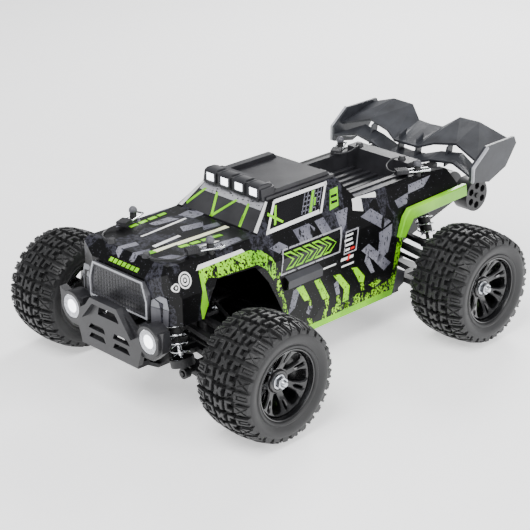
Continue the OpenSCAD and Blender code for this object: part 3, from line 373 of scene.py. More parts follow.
# Rims. Deep-dish rims moulded in gloss black nylon, with seven double spokes that flare towards the barrel.
# Each turns on a steel stub axle with a drive cup behind and a zinc-plated flange nut in front.
spokes = 7
spoke_angle = radians(22.6)


def plate(outlines, low, high, bevel, put):
    """A moulded plate in mm between two heights: its outline first, then its holes, with bevelled edges."""
    levels = [(low, bevel), (low + bevel, 0), (high - bevel, 0), (high, bevel)]
    points, faces, caps = [], [], [[], []]
    for number, outline in enumerate(outlines):
        start, n = len(points), len(outline)
        for height, by in levels:
            ring = inset(outline, by if number == 0 else -by) if by else outline
            points += [put(a, b, height) for a, b in ring]
            if height in (low, high) and by == bevel:
                caps[0 if height == low else 1].append(ring)
        faces += [(start + r * n + k, start + r * n + (k + 1) % n, start + (r + 1) * n + (k + 1) % n,
                   start + (r + 1) * n + k)
                  for r in range(3) for k in range(n)]
    for side, rings in enumerate(caps):
        flat = [Vector((a, b, 0)) for ring in rings for a, b in ring]
        edges, count = [], 0
        for ring in rings:
            edges += [(count + k, count + (k + 1) % len(ring)) for k in range(len(ring))]
            count += len(ring)
        where, _, cells, *_ = delaunay_2d_cdt([p.xy for p in flat], edges, [], 0, 1e-5)
        start = len(points)
        points += [put(p.x, p.y, high if side else low) for p in where]
        for cell in cells:
            middle = sum((where[i] for i in cell), Vector((0, 0))) / len(cell)
            if sum(inside(middle, ring) for ring in rings) == 1:
                faces.append(tuple(start + i for i in cell))
    return points, faces


def inside(spot, outline):
    """Whether a point lies in an outline."""
    hit = False
    for (a, b), (c, d) in zip(outline, outline[1:] + outline[:1]):
        if (b > spot[1]) != (d > spot[1]) and spot[0] < (c - a) * (spot[1] - b) / (d - b) + a:
            hit = not hit
    return hit


def ring_of(radius, count, start=0.0):
    """Points round a circle."""
    return [(radius * cos(start + 2 * pi * k / count),
             radius * sin(start + 2 * pi * k / count)) for k in range(count)]


def polar(radius, angle):
    """A point by its distance from the middle and its angle."""
    return (radius * cos(angle), radius * sin(angle))


windows, slots = [], []
for k in range(spokes):
    middle = spoke_angle + 2 * pi * (k + 0.5) / spokes
    windows.append([polar(r, middle + a) for r, a in (
        (9.6, -0.16), (9.2, 0), (9.6, 0.16), (13, 0.24), (17.5, 0.245), (20.4, 0.20), (21.4, 0.12),
        (21.6, 0), (21.4, -0.12), (20.4, -0.20), (17.5, -0.245), (13, -0.24))])
    middle = spoke_angle + 2 * pi * k / spokes
    slots.append([polar(r, middle + a) for r, a in (
        (14.2, 0), (15, 0.045), (20.4, 0.05), (21.2, 0), (20.4, -0.05), (15, -0.045))])
barrel = [(21.0, 25.4), (21.5, 24.9), (21.2, 24.1), (20.0, 23.7), (14, 23.3), (8, 22.6), (4, 22.4),
          (-17, 22.9),
          (-21.5, 23.6), (-22, 24.4), (-21.6, 25.4), (-19, 25.4), (-17.5, 24.5), (17.5, 24.4), (19, 25.3),
          (21.0, 25.4)]
hub = [(-4.4, 3.2), (-4.4, 7.6), (9.0, 8.2), (13.0, 8.0), (13.6, 7.4), (13.6, 5.8), (12.6, 5.4),
       (12.6, 3.2), (-4.4, 3.2)]
axle = [(-23, 3.6), (-23, 5), (-14, 5), (-13.5, 3), (-8.5, 3), (-8.5, 6.2), (-4.6, 6.2), (-4.6, 3),
        (12.4, 3),
        (12.6, 5.2), (13.8, 5.2), (14.1, 4.6), (14.1, 3.9), (19.2, 2.1), (19.9, 1.5), (20.1, 0.02),
        (-17, 0.02), (-18.5, 3.6), (-23, 3.6)]

# gloss black nylon: a wet-looking skin with faint flow marks, so the dish shows long soft highlights
rim_nylon, tree, shader, spot = finish("gloss_black_nylon", Roughness=0.2, Coat_Weight=0.35,
                                       Coat_Roughness=0.12)
flow = add(tree, "ShaderNodeTexNoise", {"Vector": spot.outputs["Object"]}, Scale=55.0, Detail=3.0)
two_toned(tree, shader, flow.outputs["Fac"], "#0b0b0c", "#161618")
soft = add(tree, "ShaderNodeMapRange", {"Value": flow.outputs["Fac"]}, To_Min=0.14, To_Max=0.3)
tree.links.new(soft.outputs["Result"], shader.inputs["Roughness"])

# zinc-plated steel: bright and a little cloudy
zinc_steel, tree, shader, spot = finish("zinc_plated_steel", Metallic=1.0, Roughness=0.28)
cloud = add(tree, "ShaderNodeTexNoise", {"Vector": spot.outputs["Object"]}, Scale=300.0, Detail=4.0)
two_toned(tree, shader, cloud.outputs["Fac"], "#a9adb3", "#dcdfe3")
soft = add(tree, "ShaderNodeMapRange", {"Value": cloud.outputs["Fac"]}, To_Min=0.2, To_Max=0.4)
tree.links.new(soft.outputs["Result"], shader.inputs["Roughness"])

for wheel, (side, end, centre) in wheels.items():
    def on_rim(a, b, depth):
        reach = max(0.0, sqrt(a * a + b * b) - 8)
        return at_wheel(wheel, tyre_middle + 7.6 + depth + 0.42 * reach, a, b)

    def on_axle(x, y, z):
        return at_wheel(wheel, tyre_middle + x, y, z)

    spoked = plate([ring_of(23.0, 56), ring_of(5.0, 24)] + windows + slots, 0, 4.4, 0.8, on_rim)
    rim = mesh_of("rim", *merged([spoked, turned(barrel, 96, on_axle), turned(hub, 40, on_axle)]))
    piece(f"{wheel}_spoked_rim", rim, rim_nylon, f"{wheel}_wheel", [f"{wheel}_rim"], 35)
    nut = plate([ring_of(4.5, 6, 0.3)], 13.6, 17.6, 0.4, lambda a, b, depth: on_axle(depth, a, b))
    steel_parts = mesh_of("axle", *merged([turned(axle, 40, on_axle), nut]))
    piece(f"{wheel}_axle_and_nut", steel_parts, zinc_steel, f"{wheel}_wheel", [], 35)

# Shocks. Four oil shocks lean out to the lower arms, black anodised with a chromed coil spring outside.
# The spring stands between the seat on the shock body and the cup on its shaft, and rides on the shock
# body.
def at_corner(side, end, x, y, z):
    """A point in mm outwards from the middle, from the axle towards that end, and from axle height."""
    centre = wheels[f"{'front' if end < 0 else 'rear'}_{'left' if side > 0 else 'right'}"][2]
    return Vector((side * x / 1000, centre.y + end * y / 1000, centre.z + z / 1000))


coil_tree = bpy.data.node_groups.new("coil_spring", "GeometryNodeTree")
for label, kind in (("Turns", "NodeSocketFloat"), ("Coil Radius", "NodeSocketFloat"),
                    ("Wire Radius", "NodeSocketFloat"),
                    ("Length", "NodeSocketFloat"), ("Wire", "NodeSocketMaterial")):
    coil_tree.interface.new_socket(label, in_out="INPUT", socket_type=kind)
coil_tree.interface.new_socket("Spring", in_out="OUTPUT", socket_type="NodeSocketGeometry")
given = add(coil_tree, "NodeGroupInput")
helix = add(coil_tree, "GeometryNodeCurveSpiral", {
    "Rotations": given.outputs["Turns"], "Start Radius": given.outputs["Coil Radius"],
    "End Radius": given.outputs["Coil Radius"], "Height": given.outputs["Length"]}, Resolution=28)
wire = add(coil_tree, "GeometryNodeCurvePrimitiveCircle", {"Radius": given.outputs["Wire Radius"]},
           Resolution=10)
drawn = add(coil_tree, "GeometryNodeCurveToMesh",
            {"Curve": helix.outputs[0], "Profile Curve": wire.outputs[0]}, Fill_Caps=True)
real = add(coil_tree, "GeometryNodeRealizeInstances", {"Geometry": drawn.outputs[0]})
coated = add(coil_tree, "GeometryNodeSetMaterial",
             {"Geometry": real.outputs[0], "Material": given.outputs["Wire"]})
taken = add(coil_tree, "NodeGroupOutput")
coil_tree.links.new(coated.outputs[0], taken.inputs[0])

# chromed spring wire: mirror bright, with the slight waviness of drawn wire
spring_chrome, tree, shader, spot = finish("chromed_spring_wire", Metallic=1.0, Roughness=0.12)
wave = add(tree, "ShaderNodeTexNoise", {"Vector": spot.outputs["Object"]}, Scale=500.0, Detail=2.0)
two_toned(tree, shader, wave.outputs["Fac"], "#c3c6cb", "#eceef0")

# sizes in metres, except the top eye's place and the lean, which are in mm
top_eye = (32, 23.1, 46)
shock_lean = (17, 0, -55)
seat_below_eye = 0.007
spring_length = 0.0436
wire_radius = 0.00065
coil_radius = 0.00635
for wheel, (side, end, centre) in wheels.items():
    lean = Vector((side * shock_lean[0], 0, shock_lean[2])).normalized()
    seat = at_corner(side, end, *top_eye) + lean * seat_below_eye
    coil = grown(coil_tree, bpy.data.meshes.new("empty"), Turns=7.0, Coil_Radius=coil_radius,
                 Wire_Radius=wire_radius, Length=spring_length - 2 * wire_radius, Wire=spring_chrome)
    coil.transform(Matrix.Translation(seat + lean * wire_radius) @ lean.to_track_quat("Z",
            "Y").to_matrix().to_4x4())
    spring = piece(f"{wheel}_coil_spring", coil, spring_chrome, f"{wheel}_shock_body",
                   ["coil_springs"] if wheel == "front_left" else [], 60)
    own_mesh(spring)

# Arms, carriers, knuckles, gearboxes and towers. Glass-filled nylon mouldings, satin black with a fine
# sparked grain, held by steel hinge pins; the shapes are the frame's own, with their edges just broken.
def moulded(name, dark, light, rough, grain, depth):
    """Moulded plastic with a sparked grain: two tones, roughness, and the grain's size and depth in mm."""
    made, tree, shader, spot = finish(name, Roughness=rough, Specular_IOR_Level=0.45)
    tint = add(tree, "ShaderNodeTexNoise", {"Vector": spot.outputs["Object"]}, Scale=60.0, Detail=5.0,
               Roughness=0.6)
    two_toned(tree, shader, tint.outputs["Fac"], dark, light, 0.3, 0.72)
    dull = add(tree, "ShaderNodeMapRange", {"Value": tint.outputs["Fac"]}, To_Min=rough - 0.08,
               To_Max=rough + 0.1)
    tree.links.new(dull.outputs["Result"], shader.inputs["Roughness"])
    pits = add(tree, "ShaderNodeTexNoise", {"Vector": spot.outputs["Object"]}, Scale=1000 / grain,
               Detail=2.0)
    skin = add(tree, "ShaderNodeBump", {"Height": pits.outputs["Fac"]}, Strength=0.35,
               Distance=depth / 1000)
    tree.links.new(skin.outputs["Normal"], shader.inputs["Normal"])
    return made


def keep(node, look, edge=0.25):
    """Gives a frame piece its finish, and breaks its edges by so many mm."""
    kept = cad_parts[node]
    for place in kept.material_slots:
        place.material = look
    if edge:
        weld = kept.modifiers.new("weld", "WELD")
        weld.merge_threshold = 0.00001
        broken = kept.modifiers.new("broken_edges", "BEVEL")
        broken.width = edge / 1000
        broken.segments = 2
        broken.limit_method = "ANGLE"
        broken.angle_limit = radians(38)
        broken.harden_normals = False


# glass-filled nylon gives the arms a dry satin black; the towers and tub are a touch smoother
arm_nylon = moulded("glass_filled_nylon", "#0e0e0f", "#1b1b1d", 0.48, 0.5, 0.06)
tub_nylon = moulded("moulded_chassis_nylon", "#161617", "#262628", 0.5, 0.7, 0.06)
for wheel in wheels:
    for part in ("lower_arm", "upper_arm", "hub_carrier"):
        keep(f"{wheel}_{part}", arm_nylon)
    keep(f"{wheel}_half_shaft", arm_nylon, 0)
    keep(f"{wheel}_shock_body", arm_nylon, 0)
    keep(f"{wheel}_shock_shaft", arm_nylon, 0)
for node in ("front_left_knuckle", "front_right_knuckle", "steering_crank", "idler_crank", "tie_rod_left",
             "tie_rod_right"):
    keep(node, arm_nylon, 0.2)
for node in ("gearbox_housings", "shock_towers", "rear_bracket"):
    keep(node, arm_nylon, 0.3)
keep("chassis_tub", tub_nylon, 0.4)
keep("steering_cross_link", zinc_steel, 0.2)
keep("fasteners", zinc_steel, 0.15)
keep("motor_pinion", zinc_steel, 0)
keep("motor", zinc_steel, 0.3)
keep("centre_drive_shaft", arm_nylon, 0)
keep("steering_servo", tub_nylon, 0.4)
keep("receiver_unit", tub_nylon, 0.4)
battery_wrap = moulded("shrink_wrap_pvc", "#111114", "#1d1d22", 0.32, 1.5, 0.05)
keep("battery_pack", battery_wrap, 0.8)

# Body shell. Thin clear polycarbonate, vacuum-formed, trimmed and sprayed gloss black from inside, with a
# printed sheet of stickers on it: lime bands with worn edges, white strips, grey shards, black window film.
half_base = (wheels["front_left"][2].y + wheels["rear_left"][2].y) / 2
axle_height = wheels["front_left"][2].z
nose = -141.0


def on_truck(x, y, z):
    """A point in mm from the truck's middle line, the middle of the wheelbase and axle height."""
    return Vector((x / 1000, half_base + y / 1000, axle_height + z / 1000))


def surface_of(node):
    """A frame piece's surface, its flat faces joined: a ray-casting tree and its creases."""
    shape = bmesh.new()
    shape.from_mesh(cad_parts[node].data)
    bmesh.ops.remove_doubles(shape, verts=shape.verts, dist=2e-5)
    bmesh.ops.dissolve_limit(shape, angle_limit=radians(1.5), verts=shape.verts, edges=shape.edges)
    creases = [(edge.verts[0].co.copy(), edge.verts[1].co.copy(),
                [face.normal.copy() for face in edge.link_faces])
               for edge in shape.edges]
    bmesh.ops.triangulate(shape, faces=shape.faces)
    tree = BVHTree.FromBMesh(shape)
    shape.free()
    return tree, creases


shell_surface = surface_of("body_shell")
# the four ways that a sticker is laid on: its two axes, the way it is pressed, and where from
from_side = (Vector((0, 1, 0)), Vector((0, 0, 1)), Vector((-1, 0, 0)))
from_right = (Vector((0, 1, 0)), Vector((0, 0, 1)), Vector((1, 0, 0)))
from_above = (Vector((1, 0, 0)), Vector((0, 1, 0)), Vector((0, 0, -1)))
from_front = (Vector((1, 0, 0)), Vector((0, 0, 1)), Vector((0, 1, 0)))


def laid(outlines, way, surface=shell_surface, steepest=0.12, behind=None):
    """Outlines in mm pressed onto a surface and cut at its creases, as triangles; none ahead of behind."""
    across, up, press = way
    cast_from = -press * 0.4
    tree, creases = surface
    centre = on_truck(0, 0, 0)
    triangles = []
    for outline in outlines:
        flat = [Vector((a / 1000, b / 1000)) for a, b in outline]
        low = Vector((min(p.x for p in flat), min(p.y for p in flat)))
        high = Vector((max(p.x for p in flat), max(p.y for p in flat)))
        points, edges = list(flat), [(k, (k + 1) % len(flat)) for k in range(len(flat))]
        for start, end, normals in creases:
            if all(n.dot(press) > -0.02 for n in normals):
                continue
            a, b = [Vector(((p - centre).dot(across), (p - centre).dot(up))) for p in (start, end)]
            if max(a.x, b.x) < low.x or min(a.x, b.x) > high.x or max(a.y, b.y) < low.y or min(a.y,
                    b.y) > high.y:
                continue
            if (a - b).length > 1e-5:
                points += [a, b]
                edges.append((len(points) - 2, len(points) - 1))
        where, _, cells, *_ = delaunay_2d_cdt(points, edges, [], 0, 1e-6)
        outline_now = [tuple(p) for p in flat]
        for cell in cells:
            middle = sum((where[i] for i in cell), Vector((0, 0))) / len(cell)
            if not inside(middle, outline_now):
                continue
            start = centre + across * middle.x + up * middle.y
            start -= press * (start - centre).dot(press) - cast_from
            place, normal, _, _ = tree.ray_cast(start, press)
            if place is None or normal.dot(press) > -steepest:
                continue
            if behind is not None and place.y < on_truck(0, behind, 0).y:
                continue
            corner_points = []
            for i in cell:
                ray = centre + across * where[i].x + up * where[i].y + cast_from
                corner_points.append(ray + press * ((place - ray).dot(normal) / press.dot(normal)))
            first, second, third = corner_points[:3]
            if (second - first).cross(third - first).dot(normal) < 0:
                corner_points.reverse()
            triangles.append(corner_points)
    return triangles


def both_flanks(outlines, surface=shell_surface, steepest=0.12):
    """Outlines of y and z laid on the left flank and again on the right."""
    return laid(outlines, from_side, surface, steepest) + laid(outlines, from_right, surface, steepest)


def sticker(name, triangles, look, lift, body="chassis", thick=0.16):
    """A thin sticker from laid triangles, lifted so many mm off the surface."""
    points = [p for triangle in triangles for p in triangle]
    mesh = bpy.data.meshes.new(name)
    mesh.from_pydata([tuple(p) for p in points], [], [(k, k + 1, k + 2) for k in range(0, len(points), 3)])
    shape = bmesh.new()
    shape.from_mesh(mesh)
    bmesh.ops.remove_doubles(shape, verts=shape.verts, dist=4e-6)
    bmesh.ops.dissolve_degenerate(shape, edges=shape.edges, dist=1e-6)
    bmesh.ops.dissolve_limit(shape, angle_limit=radians(1), verts=shape.verts, edges=shape.edges)
    bmesh.ops.triangulate(shape, faces=shape.faces)
    shape.normal_update()
    for vert in shape.verts:
        vert.co += vert.normal * lift / 1000
    shape.to_mesh(mesh)
    shape.free()
    made = piece(name, mesh, look, body, [])
    film = made.modifiers.new("film", "SOLIDIFY")
    film.thickness = thick / 1000
    film.offset = -1
    return made


def ink(name, colours, worn=0.0, grain=2.2, grit=0.9, rough=0.3, coat=0.15):
    """Printed vinyl in two tones; worn is how far it has gone to black, in scratches and grit in mm."""
    made, tree, shader, spot = finish(name, Roughness=rough, Specular_IOR_Level=0.22,
                                      Coat_Weight=coat * 0.5,
                                Coat_Roughness=0.08)
    field = add(tree, "ShaderNodeTexNoise", {"Vector": spot.outputs["Object"]}, Scale=1000 / 28, Detail=6.0)
    shown = two_toned(tree, shader, field.outputs["Fac"], *colours, 0.35, 0.65)
    if worn:
        slant = add(tree, "ShaderNodeMapping", {"Vector": spot.outputs["Object"]}, vector_type="POINT")
        slant.inputs["Rotation"].default_value = (radians(38), 0, 0)
        slant.inputs["Scale"].default_value = (1000 / grain, 1000 / grain, 1000 / grain / 2.6)
        scratch = add(tree, "ShaderNodeTexNoise", {"Vector": slant.outputs["Vector"]}, Scale=0.5,
                      Detail=5.0, Roughness=0.65)
        flecks = add(tree, "ShaderNodeTexNoise", {"Vector": spot.outputs["Object"]}, Scale=1000 / grit / 2,
                     Detail=3.0)
        both = add(tree, "ShaderNodeMath", {0: scratch.outputs["Fac"], 1: flecks.outputs["Fac"]},
                   operation="MINIMUM")
        cut = add(tree, "ShaderNodeMapRange", {"Value": both.outputs[0]}, From_Min=0.30 + 0.2 * worn,
                  From_Max=0.33 + 0.2 * worn)
        mixed = add(tree, "ShaderNodeMix", {"Factor": cut.outputs["Result"]}, data_type="RGBA")
        mixed.inputs[6].default_value = linear("#060607")
        tree.links.new(shown, mixed.inputs[7])
        tree.links.new(mixed.outputs[2], shader.inputs["Base Color"])
    return made


# sprayed polycarbonate: a deep wet black under a clear skin, with faint grey dust and soft ripples
shell_look, tree, shader, spot = finish("sprayed_polycarbonate", Roughness=0.3, Specular_IOR_Level=0.16,
                                  Coat_Weight=0.06, Coat_Roughness=0.06)
slant = add(tree, "ShaderNodeMapping", {"Vector": spot.outputs["Object"]})
slant.inputs["Rotation"].default_value = (radians(32), radians(12), radians(24))
slant.inputs["Scale"].default_value = (46, 60, 22)
shards = add(tree, "ShaderNodeTexVoronoi", {"Vector": slant.outputs["Vector"]}, Scale=1.0, feature="F1",
             distance="MANHATTAN")
which = add(tree, "ShaderNodeSeparateColor", {"Color": shards.outputs["Color"]})
chosen = add(tree, "ShaderNodeMapRange", {"Value": which.outputs[0]}, From_Min=0.74, From_Max=0.75)
dust = add(tree, "ShaderNodeTexNoise", {"Vector": spot.outputs["Object"]}, Scale=420.0, Detail=4.0,
           Roughness=0.7)
dusted = add(tree, "ShaderNodeMapRange", {"Value": dust.outputs["Fac"]}, From_Min=0.42, From_Max=0.56)
mask = add(tree, "ShaderNodeMath", {0: chosen.outputs["Result"], 1: dusted.outputs["Result"]},
           operation="MULTIPLY")
paint = add(tree, "ShaderNodeMix", {"Factor": mask.outputs[0]}, data_type="RGBA")
paint.inputs[6].default_value = linear("#050506")
paint.inputs[7].default_value = linear("#34343c")
specks = add(tree, "ShaderNodeTexNoise", {"Vector": spot.outputs["Object"]}, Scale=900.0, Detail=2.0)
rare = add(tree, "ShaderNodeMapRange", {"Value": specks.outputs["Fac"]}, From_Min=0.68, From_Max=0.72)
final = add(tree, "ShaderNodeMix", {"Factor": rare.outputs["Result"], 6: paint.outputs[2]},
            data_type="RGBA")
final.inputs[7].default_value = linear("#5c5c66")
tree.links.new(final.outputs[2], shader.inputs["Base Color"])
swell = add(tree, "ShaderNodeTexNoise", {"Vector": spot.outputs["Object"]}, Scale=18.0, Detail=1.0)
ripple = add(tree, "ShaderNodeBump", {"Height": swell.outputs["Fac"]}, Strength=0.2, Distance=0.0015)
tree.links.new(ripple.outputs["Normal"], shader.inputs["Normal"])
keep("body_shell", shell_look, 0.7)

lime_solid = ink("lime_vinyl", ("#66b400", "#90e400"))
lime_worn = ink("worn_lime_vinyl", ("#72c200", "#a0f000"), 0.64)
lime_scraped = ink("scraped_lime_vinyl", ("#7cc000", "#a4ea00"), 0.85, 3.0)
white_vinyl = ink("white_vinyl", ("#dcdcdc", "#f4f4f2"))
cream_vinyl = ink("cream_vinyl", ("#f0f2c4", "#f8fadb"))
shard_grey = ink("shard_grey_vinyl", ("#5b5b66", "#85858f"), 0.35, 5.0, 0.8)
window_film = ink("window_film", ("#0c0c0e", "#121214"), rough=0.12, coat=0.4)
glass_grey = ink("smoked_window_film", ("#2c2c2e", "#3a3a3c"), rough=0.15, coat=0.3)
banner_grey = ink("silver_vinyl", ("#8d8d93", "#b0b0b5"), 0.25, 2.0)
red_vinyl = ink("red_vinyl", ("#c01818", "#d42020"))

# flanks: outlines in mm of y and z from axle height
sill_band = [(-24, -20), (-6, -20), (78, -20), (80, -13), (60, -12.5), (30, -12.5), (6, -13), (-12, -13),
             (-24, -17)]
sill_spray = [(-22, -17), (-10, -13), (6, -13), (74, -12.6), (78, -3), (66, -5), (52, -7), (40, -4),
              (30, -8), (20, -4), (12, -8), (2, -2), (-6, -9), (-14, -6)]
slashes = [
    [(-25, 21), (-18, 21), (-10.5, 8), (-16, 8)],
    [(-7, 21), (-1, 21), (9.5, 3), (3, 3)],
    [(13, 19), (20, 18), (31, 5), (30, -6), (24, -6), (25, 4)],
    [(32, 19), (38, 18), (47, 8), (46, 3), (41, 5), (39, 9)]]
drips = [
    [(5, 2), (9, 3), (11, -6), (7, -5)], [(26, -5), (30, -6), (31, -12), (25, -12)],
    [(-13, 8), (-10, 7), (-8, 1), (-11, 3)],
    [(42, 5), (46, 4), (48, -4), (44, -3)], [(52, -1), (60, 2), (66, -2), (58, -5)],
    [(17, 0), (21, 3), (22, -4), (18, -4)]]
arch_band = [(-108, 50), (-104.5, 53), (-96, 50.6), (-60, 49.2), (-53, 44), (-47.5, 35), (-40, 36),
             (-46, 50), (-54, 57), (-62, 59.5), (-100, 61.5), (-111, 60)]
arch_leg = [(-47.5, 35), (-44, 26), (-39.5, 12), (-34.8, 0), (-32, 1), (-34, 10), (-38, 22), (-41.5, 33),
            (-42, 36)]
front_lobe = [(-114, 35), (-113, 26), (-110.5, 22.5), (-107.5, 24), (-107, 36), (-109, 46), (-108, 56),
              (-111, 58), (-112, 46)]
rear_leg = [(88.6, 29), (84.8, 10), (80.2, -13), (75.4, -13), (79.6, 10), (82.6, 30)]
sticker("lime_sill_bands", both_flanks([sill_band]), lime_solid, 0.08)
sticker("sprayed_lime_sills", both_flanks([sill_spray] + drips), lime_scraped, 0.08)
sticker("lime_slashes", both_flanks(slashes), ink("lime_slash_vinyl", ("#7ccc00", "#a6f400"), 0.3, 2.4),
        0.1)
sticker("lime_arch_bands", both_flanks([arch_band, rear_leg]), lime_worn, 0.08)
sticker("lime_arch_legs", both_flanks([arch_leg]), lime_scraped, 0.08)
sticker("lime_front_lobes", both_flanks([front_lobe]), lime_solid, 0.1)

shards_side = [
    [(-21, 62), (-5, 62.5), (0, 58), (-9, 48), (-16, 50)],
    [(1, 62.5), (10, 63), (15, 52), (11, 46), (6, 51)],
    [(22, 63), (36, 63.5), (30, 53), (24, 48)], [(-46, 56), (-36, 58), (-23, 49), (-33, 47)],
    [(-33, 2), (-28, 20), (-20, 22), (-26, 6)], [(-14, -2), (-11, 6), (-8, 2), (-9, -6)],
    [(46, 54), (58, 57), (76, 43), (66, 40)], [(42, 30), (50, 33), (76, 10), (68, 6), (56, 18)],
    [(62, 38), (77, 41), (72, 20), (60, 14)], [(84, 56), (100, 58), (96, 51), (86, 50)],
    [(48, 26), (52, 20), (58, 8), (54, 8), (46, 20)],
    [(14, 12), (18, 14), (21, 2), (17, 2)], [(102, 63), (128, 64), (118, 58), (100, 57)]]
sticker("grey_shards", both_flanks(shards_side), shard_grey, 0.07)
frames_side = [
    [(40, 60), (50, 57), (51, 66), (66, 63), (67, 66.5), (42, 67.5)],
    [(-46, 65), (8, 66), (8.6, 68.6), (-44, 67.4)], [(-46, 65), (-43.6, 65), (-27, 83), (-29.2, 83)],
    [(8, 66), (10.2, 66), (24.8, 83.2), (22.7, 83.2)], [(-29, 81.4), (24, 81.4), (25, 83.6), (-28, 83.6)]]
glass_side = [[(-43, 67.4), (8.4, 68.4), (22.4, 81.5), (-29, 81.5)]]
net = [[(-9 + k * 3.4, 69), (-8.2 + k * 3.4, 69), (1.8 + k * 3.4, 81), (1 + k * 3.4, 81)] for k in range(6)]
net += [[(-8 + j * 2.4, 70.5 + j * 2.6), (9 + j * 2.4, 70.5 + j * 2.6), (9 + j * 2.4, 71.2 + j * 2.6),
         (-8 + j * 2.4, 71.2 + j * 2.6)]
        for j in range(4)]
sticker("white_window_frames", both_flanks(frames_side), white_vinyl, 0.1)
sticker("window_films", both_flanks(glass_side), window_film, 0.08)
sticker("window_nets", both_flanks(net), shard_grey, 0.12)


def slanted(y, z, length, height, lean=0.32):
    """A bar with its ends leaning over by so much for each mm of height."""
    return [(y, z), (y + length, z), (y + length + lean * height, z + height),
            (y + lean * height, z + height)]


window_marks = [
    [(-36, 69), (-34, 69), (-27.5, 80), (-29.5, 80)],
    [(-39, 76), (-37.4, 77.5), (-26.5, 69.6), (-28, 68.6)],
    [(-1.5, 68.6), (1, 68.6), (11, 81), (8.6, 81)], [(5, 72), (6.6, 72), (10, 76.5), (8.4, 76.5)]]
pillar_badge = [[(18, 65.5), (27.5, 66.5), (33, 78), (25, 77.6)]]
sticker("lime_window_marks", both_flanks(window_marks + pillar_badge), lime_solid, 0.14)
sticker("pillar_badge_marks", both_flanks([
    slanted(21.4, 69, 6.2, 1.6, 0.5), slanted(23, 72.6, 6.2, 1.6, 0.5)]), window_film, 0.2)

# a made-up badge of five arrowheads on each door, a small plate of bars behind it, and short strokes below
badge_y, badge_z, badge_length, badge_height = -38.0, 36.5, 57.0, 14.5


def chevron(y, z, length, height, stroke):
    """An arrowhead pointing backwards along the flank."""
    return [(y, z), (y + stroke, z), (y + length, z + height / 2), (y + stroke, z + height),
            (y, z + height), (y + length - stroke, z + height / 2)]


blocks = [chevron(badge_y + 3 + 9.4 * k, badge_z + 1.4, 14.5, badge_height - 2.8, 7.2) for k in range(5)]
cores = [chevron(badge_y + 4.8 + 9.4 * k, badge_z + 2.6, 12.0, badge_height - 5.2, 4.2) for k in range(5)]
sticker("badge_borders", both_flanks([slanted(badge_y - 2.4, badge_z - 1.4, badge_length + 3.2,
                                              badge_height + 2.8),
        slanted(23, 32, 13.5, 16)]), banner_grey, 0.11)
sticker("badge_fields", both_flanks([slanted(badge_y - 1, badge_z - 0.2, badge_length + 0.6,
                                             badge_height + 0.4),
        slanted(24, 33, 11.6, 14)]), window_film, 0.15)
sticker("badge_blocks", both_flanks(blocks), lime_solid, 0.19)
sticker("badge_cores", both_flanks(cores), window_film, 0.23)
sticker("plate_bars", both_flanks([slanted(25.2, 41, 8, 1.6), slanted(25.6, 37.6, 8, 1.6),
                                   slanted(25, 34.2, 4.4, 1.6),
        slanted(0, 27, 15, 1.3), slanted(20, 27.6, 13, 2.2), slanted(21, 22.6, 13, 1.3),
        slanted(26.6, 44.4, 8, 1.4)]), white_vinyl, 0.2)
sticker("red_marks", both_flanks([slanted(26.5, 26.6, 2.2, 4.4), slanted(30.5, 34.2, 4, 1.6)]), red_vinyl,
        0.24)

# bonnet and fenders: outlines in mm of x and y
strip_tip = [(11, -129), (15.6, -130), (16.2, -122), (12, -121)]
dashes = []
for low_x, step in ((-34, -0.085), (18, 0.09)):
    for k in range(4):
        y = -105 + 9.4 * k
        x = low_x + step * (y + 107)
        dashes.append([(x, y), (x + 3.4, y), (x + 3.4 + step * 7.4, y + 7.4), (x + step * 7.4, y + 7.4)])
sticker("lime_bonnet_dashes", laid(dashes + [strip_tip], from_above), lime_solid, 0.1)
sticker("cream_bonnet_strip", laid([[(11.8, -122), (16.3, -122), (16.8, -56), (12.4, -56)]], from_above),
        cream_vinyl, 0.1)
sticker("white_bonnet_strips", laid([
    [(5.4, -117), (8.8, -117), (5.6, -91), (2.6, -91)],
    [(-14, -111), (-12, -111), (-16.5, -66), (-18.5, -66)],
    [(28, -97), (30.4, -96), (30.6, -78), (28.4, -80)]], from_above), white_vinyl, 0.09)
sticker("grey_bonnet_shards", laid([
    [(-8, -80), (0, -84), (3, -68), (-4, -62)], [(2, -68), (8, -72), (10, -58), (4, -56)],
    [(-28, -92), (-22, -90), (-20, -70), (-28, -74)],
    [(22, -100), (30, -104), (36, -92), (28, -86)], [(32, -86), (42, -88), (40, -66), (34, -64)],
    [(-44, -110), (-38, -112), (-36, -92), (-42, -88)],
    [(-10, -136), (-5, -138), (-2, -122), (-8, -120)], [(5, -138), (10, -137), (14, -124), (8, -122)],
    [(24, -128), (38, -120), (36, -112), (26, -118)],
    [(-26, -66), (-14, -62), (-14, -50), (-28, -54)], [(-46, -84), (-40, -80), (-40, -62), (-46, -64)]],
    from_above), shard_grey, 0.07)
sticker("nose_dashes", laid([slanted(-13 + 4.4 * k, 58.2, 3.2, 2.6) for k in range(7)], from_front),
        lime_solid, 0.12)

